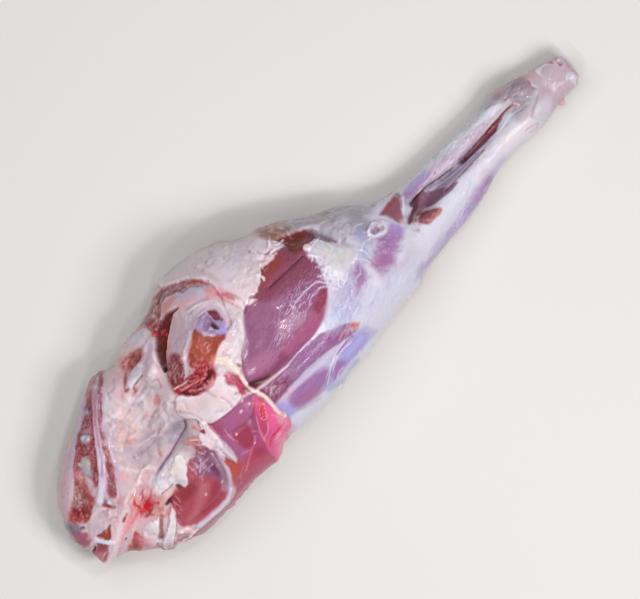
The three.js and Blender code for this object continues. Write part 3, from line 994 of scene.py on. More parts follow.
@dataclass
class HipCut:
    """The sawn hip end: the fat along the split backbone, its corner knob and the end of the loin."""

    band: Path = (
        "-252,-1 -250,14 -240,26 -214,46 -190,62 -163,76 -160,72 -172,66 -180,59 -197,45.5 -208,34 -225,19.5 -233,12 "
        "-240,3 -244,0"
    )

    def lay_on(self, skin: Skin) -> None:
        """Lay the region's tissues and forms.

        Args:
            skin: the skin that they are laid on.
        """
        fill, streak, spot = skin.fill, skin.streak, skin.spot
        fill(T.SAWN_FAT, self.band, B.CLEAN, 1, 0.5)
        streak(T.LILAC_SKIN, "-214,33 -203,43 -176,64", (3, 2), B.SMOOTH, 0.6)
        streak(T.WARM_FAT, "-243,10 -226,30 -200,50", 3, B.BLURRED, 0.4)
        # Corner knob, grey-violet over red meat.
        spot(T.GREY_FAT_AND_SHADE, (-244.5, -4.5), 15, 15, 0, B.EVEN, 1, 0.8)
        spot(T.DEEP_PURPLE, (-245, -4), 11, 11, 0, B.DRIFTED, 0.6, patchy=0.3)
        spot(T.VESSEL, (-238, -8), 3.5, 2.5, -20, B.TORN, 0.8, -1)
        fill(T.RIM_PINK, "-250,-8 -242,-9 -237,-13 -241,-21 -249,-21", B.SOFT)
        skin.scatter((T.FLAP_RED, T.CREAM_EDGE), (-244, -15), (5, 5), 80, (2, 5), (0.8, 1.6), 14, 1, 0.5, 0.3)
        # Loin bone, the white bar beside it and the red triangle.
        fill(T.LOIN_RED, "-247,-27 -242,-26 -236,-23 -232,-30 -238,-36 -246,-38", B.EVEN)
        spot(T.RED_MARROW, (-236.5, -27.5), 6, 5, -50, B.BLURRED, 0.4, patchy=0.3)
        spot(T.BLOOD_STAIN, (-242, -31), 6, 5, 0, B.SOFT, 0.4)
        # painted shade in the slit
        streak(T.CREVICE_SHADE, "-249,-24.5 -243,-25.5 -240,-24", (2.5, 1), B.CRISP, 1, -2.5)
        streak(T.FASCIA, "-236,-20.5 -228,-30.5", 3.4, B.CRISP, 1, 0.9)
        fill(T.TAN_BONE, "-234,-19 -228,-19.5 -221,-19 -228,-27 -231,-24", B.TORN, 1, -1)
        streak(T.BROWN_LEAN, "-229,-19.5 -222,-19.5", 1.6, B.CRISP, 0.9)
        # Bands of fat and meat that run up from the cut end.
        for tissue, path, width in (
            (T.SMOOTH_FAT, "-244,-39 -233,-37 -221,-29 -205,-18", (3, 6)),
            (T.BLOOD_STAIN, "-229,-38 -216,-29 -203,-23 -194,-18", (3, 4)),
            (T.LILAC_SKIN, "-224,-37 -210,-29", (2.6, 2)), (T.WARM_FAT, "-210,-31 -200,-24 -190,-20", 4),
            (T.CREAM_EDGE, "-208,-19 -198,-12 -184,-8", (2, 4)),
        ):
            streak(tissue, path, width, B.EVEN, 0.8, 0.4)
        fill(T.ORANGE_LEAN, "-228,-43 -219,-39 -211,-34 -209,-38 -211,-44 -219,-48", B.EVEN)
        streak(T.BROWN_LEAN, "-222,-45 -211,-40", 2.4, B.CLEAN, 0.7)
        spot(T.VESSEL, (-219, -34), 2.8, 1.5, 10, B.KEEN, 1, -0.5)
        for centre, length, width in (
            ((-230, -13), 13, 9), ((-218, -11), 14, 8), ((-240, -21), 7, 4), ((-206, -14), 12, 5),
            ((-214, -12), 9, 6),
        ):
            spot(T.ASH_FAT, centre, length, width, 15, B.SOFT, 0.95, 1.2)
        streak(T.ORANGE_LEAN, "-211.5,-23 -205.5,-20", (1.4, 1), B.CRISP, 0.9)
        skin.scatter((T.BLOOD_STAIN, T.WHITE_FAT, T.WARM_FAT), (-218, -24), (13, 8), 36, (4, 10), (0.8, 1.8), 40, 2,
            0.5, 0.5)


@dataclass
class PelvicFat:
    """The lumpy fat that fills the pelvis, with the grey slit, orange beads and the tail's socket."""

    slit: Path = ((-131, 4), (-133, 1), (-138, -1), (-143, -3), (-149, -5.3), (-156, -7.5), (-163, -9.6), (-171, -13))

    def lay_on(self, skin: Skin) -> None:
        """Lay the region's tissues and forms.

        Args:
            skin: the skin that they are laid on.
        """
        fill, streak, spot = skin.fill, skin.streak, skin.spot
        # patches of tone; the grey ones are painted shade in broad hollows
        for tissue, centre, length, width, turn in (
            (T.LILAC_SKIN, (-170, 50), 16, 12, 50), (T.WHITE_FAT, (-150, 28), 18, 12, 20),
            (T.GREY_FAT_AND_SHADE, (-152, 8), 40, 16, 5), (T.GREY_FAT_AND_SHADE, (-176, 12), 22, 14, 50),
            (T.LILAC_SKIN, (-148, 40), 16, 7, 20), (T.WARM_FAT, (-162, 34), 18, 12, 20),
            (T.WARM_FAT, (-166, 24), 12, 8, -40), (T.WARM_FAT, (-153, 61), 14, 7, 20),
            (T.BLOOD_STAIN, (-154, 50), 5, 7, 0), (T.WARM_FAT, (-182, 4), 6, 14, 0),
            (T.BLOOD_STAIN, (-190, 2), 8, 8, 0), (T.WARM_FAT, (-176, -6), 16, 8, 20),
            (T.GREY_FAT_AND_SHADE, (-155, 60), 12, 6, 10), (T.WARM_FAT, (-160, -2), 10, 5, 60),
            (T.GREY_FAT_AND_SHADE, (-184, 20), 8, 22, -35), (T.GREY_FAT_AND_SHADE, (-171, 10), 16, 12, 20),
            (T.GREY_FAT_AND_SHADE, (-174, 36), 18, 10, 45), (T.TAN_FAT, (-181, 20), 14, 12, 40),
            (T.MEMBRANE, (-171, 51), 16, 12, 50), (T.ASH_FAT, (-176, 35), 14, 8, 50),
            (T.GREY_CREAM, (-168, 48), 16, 10, 45), (T.TAN_FAT, (-175, 25), 12, 9, 45),
            (T.TAN_FAT, (-150, 45), 12, 8, 20),
        ):
            spot(tissue, centre, length, width, turn, B.DRIFTED, 0.55, patchy=0.3)
        # Smooth sheet beside the aitch bone, with its folds.
        fill(T.MEMBRANE, "-130,72 -112,80 -106,74 -111,64 -116,52 -124,48 -132,56", B.SOFT, 0.6)
        spot(T.FASCIA, (-121, 71), 22, 9, 12, B.BLURRED, 0.7, 0.8)
        for path, width, height in (
            ("-132,66 -121,66 -110,69", 1.8, -1.2), ("-130,52 -114,64", 1.6, -0.9),
            ("-131,46 -122,50 -117,56", 2.6, 1.2), ("-128,56 -112,68", 2.6, 1),
        ):
            skin.crease(path, width * 2, height)
        for path in (
            "-127,46 -119,50 -113,57", "-150,40 -140,37 -122,46", "-150,44 -156,41 -158,46",
            "-176,42 -168,40 -160,42", "-190,16 -182,28 -172,36", "-188,8 -180,-2 -172,-4", "-150,16 -138,18 -126,24",
            "-148,-12 -160,-11 -172,-16",
        ):
            streak(T.WHITE_FAT, path, (4, 2.4), B.BLURRED, 0.55, 0.9)
        # grey creases: painted shade along shallow furrows
        for path in (
            "-173,36 -164,34 -156,36", "-149,35 -140,36 -133,39", "-147,22 -142,24", "-180,26 -175,33 -174,39",
            "-184,24 -179,31", "-170,30 -165,30 -164,24", "-160,56 -154,57 -150,62", "-162,52 -160,58",
            "-176,8 -160,7 -150,10", "-128,20 -121,16 -122,10", "-136,42 -146,40 -152,37", "-139,12 -132,14 -128,12",
        ):
            streak(T.GREY_FAT_AND_SHADE, path, 1.2, B.SMOOTH, 0.45, -0.8)
        for x, y, length, turn in (
            (-170, 18, 6, -20), (-136, 29, 9, 40), (-143, 44.5, 6, 20), (-132, -11, 8, -30), (-159.5, -2, 5, 80),
            (-164, 22, 4, 0),
        ):
            spot(T.ORANGE_BEAD, (x, y), length, length * 0.55, turn, B.EVEN, 0.75, -0.6)
        streak(T.RIM_PINK, "-129,41.5 -126,41 -125,38 -127,34", 1, B.KEEN, 0.8, 0.4)
        # broad folds, with painted grey shade in their valleys
        outline = "-186,10 -176,34 -160,60 -132,46 -124,20 -132,6 -160,-8 -186,-12"
        skin.wrinkle(T.WHITE_FAT, outline, 38, (24, 14), 101, 0.4, 1.2, 8)
        skin.wrinkle(T.CREAM_EDGE, outline, 5, (18, 9), 103, 0.3, 0.5, 8)
        skin.wrinkle(T.GREY_FAT_AND_SHADE, outline, 30, (22, 13), 105, 0.4, -0.8, 8)
        skin.scatter((T.SALMON, T.WARM_FAT, T.BLOOD_STAIN, T.YELLOW_FAT), (-157, 26), (15, 17), 35, (2, 6),
            (1.2, 3.2), 34, 107, 0.4, -0.1)
        # soft white painted highlights on small rises of the fat
        skin.scatter((T.WHITE_FAT, T.WHITE_SKIN), (-157, 24), (15, 17), 35, (2, 6), (0.8, 1.8), 16, 109, 0.5, 0.3)
        # Socket beside the tail.
        skin.swell((-132, 63), 26, 15, 12, -2.4)
        spot(T.WARM_FAT, (-131, 64), 26, 15, 10, B.BLURRED, 0.8)
        fill(T.CRIMSON, "-141,62 -138,67 -122,66 -122,61 -128,58 -136,59", B.BLURRED, 0.85)
        spot(T.ORANGE_LEAN, (-126, 63), 11, 7, 20, B.BLURRED, 0.85)
        spot(T.TAN_BONE, (-134, 63), 8, 5, 10, B.SOFT, 0.7)
        streak(T.RUST, "-136,60 -130,62 -125,62", (2, 3), B.EVEN, 0.7, -0.5)
        skin.grit(T.SALMON, T.BROWN_LEAN, "-141,62 -130,68 -121,66 -122,60 -136,58", 2, 141, 0.5)
        skin.scatter((T.CREAM_EDGE, T.BLOOD_STAIN), (-137, 63), (5, 2), 20, (1.5, 4), (0.8, 1.4), 14, 3, 0.8, 0.5)
        streak(T.SALMON, "-148,50 -139,60", 6, B.BLURRED, 0.7)
        streak(T.RUST, "-148,51 -141,59", 2.2, B.EVEN, 0.7, -0.6)
        # painted shade in the crease
        streak(T.CREVICE_SHADE, "-149,49 -146,48.5", 2, B.CRISP, 0.8, -1)
        fill(T.FASCIA, "-146,50 -134,58 -127,57 -129,52 -142,47", B.FADED, 0.6, 1.8)
        streak(T.BROWN_LEAN, "-144,44 -142,47 -132,49.5", (1.8, 0.8), B.CRISP, 0.85, -1.2)
        spot(T.ORANGE_BEAD, (-144, 44), 6, 5, 30, B.SOFT, 0.8)
        # Hollow with painted grey shade in it, and the slit that leaves it.
        fill(T.GREY_FAT_AND_SHADE, "-148,-3 -146,5 -138,9 -130,7 -131,2", B.FADED)
        skin.swell((-139, 4), 18, 8, 25, -1.5)
        skin.crease(self.slit, 3.4, -2, -0.8)
        streak(T.MUSCLE_SKIN, self.slit[2:], (1.2, 2.8), B.CLEAN, 0.8)
        # painted shade down the slit
        streak(T.CREVICE_SHADE, self.slit, (0.7, 0.4), B.KEEN, 0.75)


@dataclass
class BloodSpot:
    """The torn, blood-stained fat between the loin and the round muscle."""

    def lay_on(self, skin: Skin) -> None:
        """Lay the region's tissues and forms.

        Args:
            skin: the skin that they are laid on.
        """
        fill, streak, spot = skin.fill, skin.streak, skin.spot
        spot(T.BLOOD_STAIN, (-189, -22), 34, 20, 25, B.VEILED, 0.75, patchy=0.3)
        streak(T.BLOOD_STAIN, "-216,-31 -198,-24", (2.5, 4.5), B.SOFT, 0.9)
        streak(T.CRIMSON, "-208,-28 -196,-24", (0.8, 1.8), B.SMOOTH, 0.5)
        spot(T.ORANGE_BEAD, (-186, -31), 22, 9, 30, B.DRIFTED, 0.75, patchy=0.4)
        streak(T.ORANGE_BEAD, "-197,-22 -195,-12", (5, 3), B.SOFT, 0.8, patchy=0.25)
        fill(T.WHITE_FAT, "-180,-14 -172,-12 -164,-15 -163,-24 -180,-24", B.BLURRED, 0.8, 0.6)
        skin.scatter((T.BLOOD_STAIN, T.CREAM_EDGE, T.SALMON, T.WARM_FAT), (-187, -22), (9, 6), 28, (2, 6), (0.6, 1.4),
            80, 5, 0.5, 0.5)
        skin.scatter((T.CREAM_EDGE, T.ORANGE_BEAD, T.CRIMSON), (-184, -33), (7, 3.2), 34, (1.5, 4), (0.7, 1.4), 36, 6,
            0.55, 0.5)
        skin.scatter((T.WHITE_FAT, T.GREY_FAT_AND_SHADE, T.MEMBRANE), (-171, -20), (7, 4), 18, (4, 9), (0.6, 1.2), 28, 7, 0.5,
            0.4)
        spot(T.CRIMSON, (-190, -25), 16, 11, 15, B.DRIFTED, 0.5, patchy=0.3)
        for tissue, path, width in (
            (T.CRIMSON, "-192,-24 -186,-22.6 -181,-19.4 -177,-18", (3.4, 0.8)),
            (T.CRIMSON, "-190,-23 -188.6,-18 -186,-14", (2.4, 0.8)),
            (T.CRIMSON, "-191,-28 -193,-32 -190,-36", (2.2, 0.6)),
            (T.BLOOD, "-198,-26 -193,-25 -188,-23", (1.2, 3.4)),
            (T.BLOOD, "-195.4,-23 -197,-19 -195,-15.6", (2.4, 0.6)),
            (T.BLOOD, "-190,-25 -185,-27 -183,-30", (2, 0.6)),
            (T.BROWN_LEAN, "-197,-31.5 -192,-30.4 -187,-28", (0.9, 1.4)), (T.FLAP_RED, "-212,-23 -209,-22", (1, 1)),
        ):
            streak(tissue, path, width, B.TORN, 0.85)
        skin.scatter((T.BLOOD, T.CRIMSON, T.SALMON), (-189, -24), (4.4, 2.4), 24, (1.5, 5), (0.5, 1), 46, 19, 0.8, 0)
        spot(T.BLOOD, (-191, -26), 8, 5, 15, B.SOFT, 1, -0.4)
        spot(T.BLOOD_STAIN, (-180, -20), 9, 5, 20, B.BLURRED, 0.65)
        # White lobes of fat, the gap between them and the dark vessel.
        spot(T.SMOOTH_FAT, (-200, -43), 19, 13, 30, B.SOFT, 1, 1.6)
        spot(T.WHITE_FAT, (-195.6, -40.6), 10, 7, 15, B.SOFT, 0.9, 0.8)
        skin.crease("-203,-38 -203.5,-42 -200,-45", 2.6, -0.8)
        spot(T.BLOOD_STAIN, (-209, -44), 8, 12, 30, B.BLURRED, 0.7, patchy=0.3)
        streak(T.RUST, "-188,-38 -198,-49", (2.6, 4), B.EVEN, 0.85, -1.2)
        # painted shade in the crease
        streak(T.CREVICE_SHADE, "-203,-51 -199,-50", 1.2, B.CRISP, 0.8, -0.8)
        streak(T.ORANGE_BEAD, "-180,-37.5 -185,-39.5 -189,-39", (2, 3), B.TORN, 0.9)
        streak(T.WHITE_FAT, "-175,-37 -187,-49 -197,-55", (3.6, 6.5), B.CRISP, 1, 1.8)
        streak(T.WHITE_FAT, "-201,-51 -198,-54 -192,-56", (3, 5), B.CLEAN, 1, 0.8)
        fill(T.VESSEL, "-180.5,-34 -176,-31.5 -172,-32 -172.5,-35 -175,-37.5 -177,-35", B.CRISP, 1, -1)


@dataclass
class RoundMuscle:
    """The round, wet muscle at the hip, its wrapping skin and the tongue of fat that laps it."""

    muscle: Path = (
        "-177,-37 -172,-31 -164,-27 -157,-29 -150,-21 -140,-19 -131,-19 -127,-26 -127,-36 -130,-46 -135,-53 -142,-58 "
        "-155,-60 -170,-59.5 -178,-57 -182,-52 -181,-46 -178,-42"
    )
    skin_edge: Path = (
        (-126.5, -30), (-128, -40), (-131.5, -48), (-136, -54.5), (-142, -58.5), (-151, -60.7), (-164, -61),
        (-174, -61), (-182, -61.5),
    )
    tongue: Path = (
        "-164,-20 -158,-15 -152,-12 -148.4,-12 -148,-16 -149,-20 -151,-24 -154,-26 -156,-30 -160,-33 -161.6,-31 "
        "-164.4,-27.2 -167.4,-25 -167,-22"
    )

    def lay_on(self, skin: Skin) -> None:
        """Lay the region's tissues and forms.

        Args:
            skin: the skin that they are laid on.
        """
        fill, streak, spot = skin.fill, skin.streak, skin.spot
        fill(T.RIM_PINK, "-226,-46 -210,-50 -196,-57 -180,-61 -150,-62 -126,-58 -110,-62 -110,-74 -150,-78 -190,-78 "
            "-235,-60", B.SOFT, 0.9)
        streak(T.FLAP_RED, "-218,-50 -196,-60 -170,-66 -130,-66 -100,-64", 9, B.VEILED, 0.65)
        streak(T.MEMBRANE, "-205,-54 -192,-62 -175,-66 -150,-66 -134,-63", 3, B.SMOOTH, 0.5, patchy=0.3)
        fill(T.ROUND_LEAN, self.muscle, B.CLEAN, grain=28)
        # a pale salmon painted sheen across the muscle
        streak(T.SALMON, "-176,-55 -165,-51 -150,-42", (4, 7), B.HAZY, 0.3)
        streak(T.RED_MARROW, "-171,-36 -163,-37 -155,-35", (10, 8), B.HAZY, 0.5)
        streak(T.FLAP_RED, "-162,-56 -150,-54 -143,-48", (5, 9), B.FADED, 0.7)
        # painted reflection: the broad sheen on the muscle's right side
        fill(T.PURPLE_SHEEN, "-146,-22 -130,-20 -127,-34 -131,-47 -138,-53 -140,-42 -147,-32", B.HAZY)
        streak(T.VESSEL, "-134,-24 -136,-41", (4, 3), B.BLURRED, 0.6)
        streak(T.MEMBRANE, "-130,-27 -131,-38 -134,-47 -139,-53", (2.5, 5), B.FADED, 0.6)
        spot(T.RIM_PINK, (-139, -26), 16, 11, 10, B.BLURRED, 0.6)
        skin.scatter((T.LILAC_WHITE, T.LILAC_SKIN, T.LOBE_EDGE), (-139, -27), (4.6, 3.4), 20, (0.8, 2.2), (0.6, 1.2),
            90, 8, 0.5, 0.35)
        skin.scatter((T.PURPLE_SHEEN, T.DEEP_PURPLE), (-138, -26), (5, 3.4), 10, (0.8, 2), (0.5, 1), 40, 9, 0.5, -0.3)
        skin.crease("-129,-26 -132,-40 -140,-53 -155,-57.5 -176,-56", 5, -1.6)
        for x, y, drop in (
            (-177, -38, 7), (-174, -35, 9), (-171, -33, 6), (-181, -46, 6), (-149, -23, 8), (-145, -22, 6),
        ):
            streak(T.BLOOD_STAIN, ((x, y), (x + 0.8, y - drop * 0.6), (x + 0.2, y - drop)), 0.9, B.CRISP, 0.45, 0.3)
        # two small painted glints on the muscle
        for x, y in ((-152.5, -46.5), (-137.5, -47.5)):
            spot(T.CREAM_EDGE, (x, y), 2.2, 1.4, 50, B.KEEN, 0.7, 0.4)
        skin.crease(self.skin_edge, 4.5, 1.8, 1.2)
        streak(T.MEMBRANE, self.skin_edge, (3.4, 3))
        streak(T.FASCIA, self.skin_edge[3:], (1.6, 1.4), B.CRISP, 0.85)
        streak(T.WHITE_FAT, "-182,-62 -177,-61 -174,-62", (2.6, 1.6), B.CRISP, 1, 0.6)
        for path in ("-186,-55 -182,-58 -177,-59", "-184,-56 -179,-57", "-196,-59.5 -187,-62 -180,-61"):
            streak(T.CREAM_EDGE, path, (2.6, 1.4), B.TORN, 0.85, 0.8)
        spot(T.ORANGE_LEAN, (-177, -64.5), 6, 3.5, 10, B.EVEN, 0.6)
        skin.scatter((T.MEMBRANE, T.RIM_PINK, T.FLAP_RED), (-186, -60), (8, 3), -22, (3, 6), (0.8, 1.6), 22, 10, 0.5,
            0.4)
        # Tongue of fat over the muscle, with the fibres and the gap at its left.
        streak(T.WARM_FAT, "-178,-30 -166,-28", (4, 2.5), B.SOFT, 0.6, 0.4)
        spot(T.BROWN_LEAN, (-164, -29.2), 5, 4, 60, B.CLEAN, 0.85, -0.8)
        spot(T.WHITE_FAT, (-163, -18), 22, 12, 20, B.HAZY, 0.6, 0.5)
        spot(T.WHITE_FAT, (-172, -20), 18, 10, 15, B.BLURRED, 0.7, 0.5)
        fill(T.WHITE_FAT, self.tongue, B.TORN, 0.9, 0.9)
        fill(T.YELLOW_FAT, "-160,-15 -150,-13 -150,-18 -154,-23 -161,-22", B.BLURRED, 0.5)
        streak(T.MEMBRANE, "-162,-25 -157,-31", (3, 1.6), B.SMOOTH, 0.5)
        streak(T.MEMBRANE, "-176,-15 -167,-18 -160,-22", (2, 3), B.SMOOTH, 0.5)
        streak(T.GREY_FAT_AND_SHADE, "-177,-25.5 -171,-26 -166,-25", 1, B.KEEN, 0.8, -0.8)
        self._strands(skin)

    def _strands(self, skin: Skin) -> None:
        """Lay the red and orange strands, the white membrane and the wedge of meat at the muscle's right.

        Args:
            skin: the skin that they are laid on.
        """
        fill, streak, spot = skin.fill, skin.streak, skin.spot
        spot(T.GREY_FAT_AND_SHADE, (-140, -8), 14, 10, 20, B.BLURRED, 0.6)
        spot(T.FLAP_RED, (-132, -16), 12, 9, -10, B.BLURRED, 0.8, patchy=0.3)
        skin.scatter((T.FLAP_RED, T.BLOOD_STAIN, T.RIM_PINK, T.CREAM_EDGE), (-133, -16), (4, 3), -25, (2, 5),
            (0.7, 1.4), 34, 11, 0.65, 0.6)
        for tissue, path, width in (
            (T.ORANGE_BEAD, "-140,-7 -137,-10 -134,-14", (3, 2)),
            (T.ORANGE_BEAD, "-136,-8 -132,-11 -128,-12", (2, 1.4)),
            (T.CREAM_EDGE, "-135,-9.5 -131,-12.5 -127,-13.5", (1.2, 1)), (T.ORANGE_BEAD, "-127,-3 -124.5,-9", (3, 2)),
            (T.BROWN_LEAN, "-122,-1 -123,-6", (1.4, 1)),
        ):
            streak(tissue, path, width, B.CRISP, 0.85, 0.5)
        fill(T.SMOOTH_FAT, "-129,-11 -125,-9 -121,-3 -118,-9 -118,-22 -121,-27 -127,-27 -130,-20", B.TORN, 1, 1)
        streak(T.WHITE_FAT, "-121,-4 -120.5,-10 -121,-18", (2, 3), B.CLEAN, 0.8, 0.6)
        fill(T.FLAP_RED, "-126,-8.5 -122.5,-9 -124,-12.5", B.KEEN, 1, -0.6)
        skin.scatter((T.BLOOD_STAIN, T.RIM_PINK), (-122, -23), (3, 3), 60, (1.5, 3), (0.8, 1.4), 14, 12, 0.6, 0.4)
        fill(T.ORANGE_LEAN, "-126,-33 -128,-44 -133,-55 -127,-54 -120,-49.5 -110,-44.5 -118,-42 -122,-38", B.CLEAN,
            grain=35)
        streak(T.MEMBRANE, "-133,-56.5 -128,-56 -124.5,-53", (2.2, 0.8), B.KEEN, 1, 0.7)
        fill(T.MEMBRANE, "-127,-24 -119,-24 -117,-32 -119.8,-43.5 -122,-38 -123.4,-34 -126,-35", B.CLEAN, 1, 0.9)
        streak(T.WHITE_FAT, "-121,-24 -119.6,-41", (4, 1.4), B.CLEAN, 0.8, 0.5)
        streak(T.WHITE_FAT, "-124.4,-26 -124,-33", (2, 1), B.CRISP, 0.8, 0.4)


@dataclass
class Flank:
    """The thin pink flap of the flank, folded over at its free edge."""

    flap: Path = (
        "-118,-8 -113,-10 -97,-11 -86,-10.5 -78,-13 -76,-18 -74,-30 -71.5,-39 -75,-46 -86,-60 -96,-68 -112,-72 "
        "-136,-70 -134,-57 -126,-53.5 -116,-47 -118.5,-43 -117,-33 -118,-20"
    )
    lobe: Path = (
        "-77,-14.5 -82,-18 -88,-25.5 -95,-39 -95.5,-46 -97,-52 -97,-64 -90,-68 -80,-58 -71,-46 -71.5,-38 -75,-28"
    )

    def lay_on(self, skin: Skin) -> None:
        """Lay the region's tissues and forms.

        Args:
            skin: the skin that they are laid on.
        """
        fill, streak, spot = skin.fill, skin.streak, skin.spot
        fill(T.FLAP_PURPLE, self.flap, B.CRISP, 1, -0.6, grain=-12)
        fill(T.FLAP_PINK, "-140,-60 -124,-54 -108,-44 -98,-40 -97,-70 -140,-72", B.HAZY, 0.85)
        fill(T.ORANGE_LEAN, "-126,-55 -114,-48 -106,-45 -112,-51 -122,-57", B.SMOOTH, 0.7)
        fill(T.FLAP_PINK, "-132,-52 -120,-46 -106,-44 -112,-52 -126,-60", B.HAZY, 0.35)
        fill(T.FLAP_RED, "-110,-26 -97,-26 -97,-34 -102,-41 -109,-40", B.FADED, 0.85)
        spot(T.FLAP_RED, (-115, -14), 8, 14, 20, B.HAZY, 0.45)
        streak(T.FLAP_RED, "-104,-48 -98,-60", (8, 5), B.FADED, 0.6)
        skin.crease("-111,-24 -105,-25 -99,-26 -92,-25", 3.5, -1.2)
        fold = "-78,-14.5 -89.5,-24.5 -93.5,-30 -95,-34 -98,-38"
        skin.crease(fold, 4, -0.9, -0.4)
        streak(T.FLAP_RED, fold, (1.6, 0.8), B.SMOOTH, 0.6)
        for path, width in (
            ("-98,-37.5 -101,-41 -106,-43.5 -120,-53", 0.8), ("-111.5,-19 -112,-26 -110,-32", 0.9),
            ("-113,-41 -107,-43", 0.7), ("-97,-33.5 -94,-36", 0.8),
        ):
            streak(T.LOBE_EDGE, path, width, B.CRISP, 0.38, 0.25)
        fill(T.LOBE_PINK, self.lobe, B.SMOOTH, 1, 1.2, grain=60)
        fill(T.LOBE_RED, "-77,-16 -84,-23 -91,-33 -92,-42 -86,-38 -76,-24", B.BLURRED, 0.85)
        streak(T.BRIGHT_PINK, "-82,-19 -79,-23 -78,-30 -82,-38", (3, 6), B.FADED, 0.5)
        streak(T.BRIGHT_PINK, "-92,-58 -85,-51 -77,-46", (4, 7), B.FADED, 0.45)
        streak(T.BLOOD, "-83.6,-30 -81.5,-26 -78.6,-24", (2.6, 2), B.CLEAN, 0.8, -0.8)
        streak(T.ORANGE_LEAN, "-94,-49 -90,-46 -86.5,-45", (1.6, 1.4), B.CLEAN, 0.85, -0.6)
        streak(T.BLOOD, "-87,-45 -75,-43", (1.3, 0.8), B.KEEN, 0.8, -0.8)
        spot(T.LOBE_EDGE, (-85, -47.5), 6, 2, 15, B.EVEN, 0.6)
        spot(T.MEMBRANE, (-74, -51), 9, 6, 20, B.BLURRED, 0.8)
        spot(T.LOBE_EDGE, (-75, -40), 6, 10, -10, strength=0.5)
        streak(T.LOBE_RED, "-110,-50 -99,-58", 9, B.HAZY, 0.6)
        for path in ("-88,-27 -92,-36 -94,-44", "-84,-35 -88,-40 -94,-42", "-78,-33 -74,-40", "-90,-50 -84,-50"):
            streak(T.LOBE_EDGE, path, 0.8, B.KEEN, 0.45, 0.3)
        edge = "-77.5,2 -77.8,-8 -73.4,-20 -73.6,-34 -71.5,-38.5"
        skin.crease(edge, 4, 1.6, 1.2)
        streak(T.CREAM_EDGE, edge, (2.4, 3.4))
        spot(T.ORANGE_BEAD, (-74, -37), 4, 3, 0, B.CLEAN, 0.6)
        streak(T.RIM_PINK, "-174,-67 -150,-68 -130,-65 -104,-63", 5, B.BLURRED, 0.6)
        # small pale painted glints on the flap
        for x, y, length in ((-94, -17, 2.6), (-85, -16.5, 2), (-88, -11.3, 2.4), (-107, -27.5, 2), (-101, -41, 1.8)):
            spot(T.LOBE_EDGE, (x, y), length, length * 0.8, 20, B.KEEN, 0.85, 0.5)


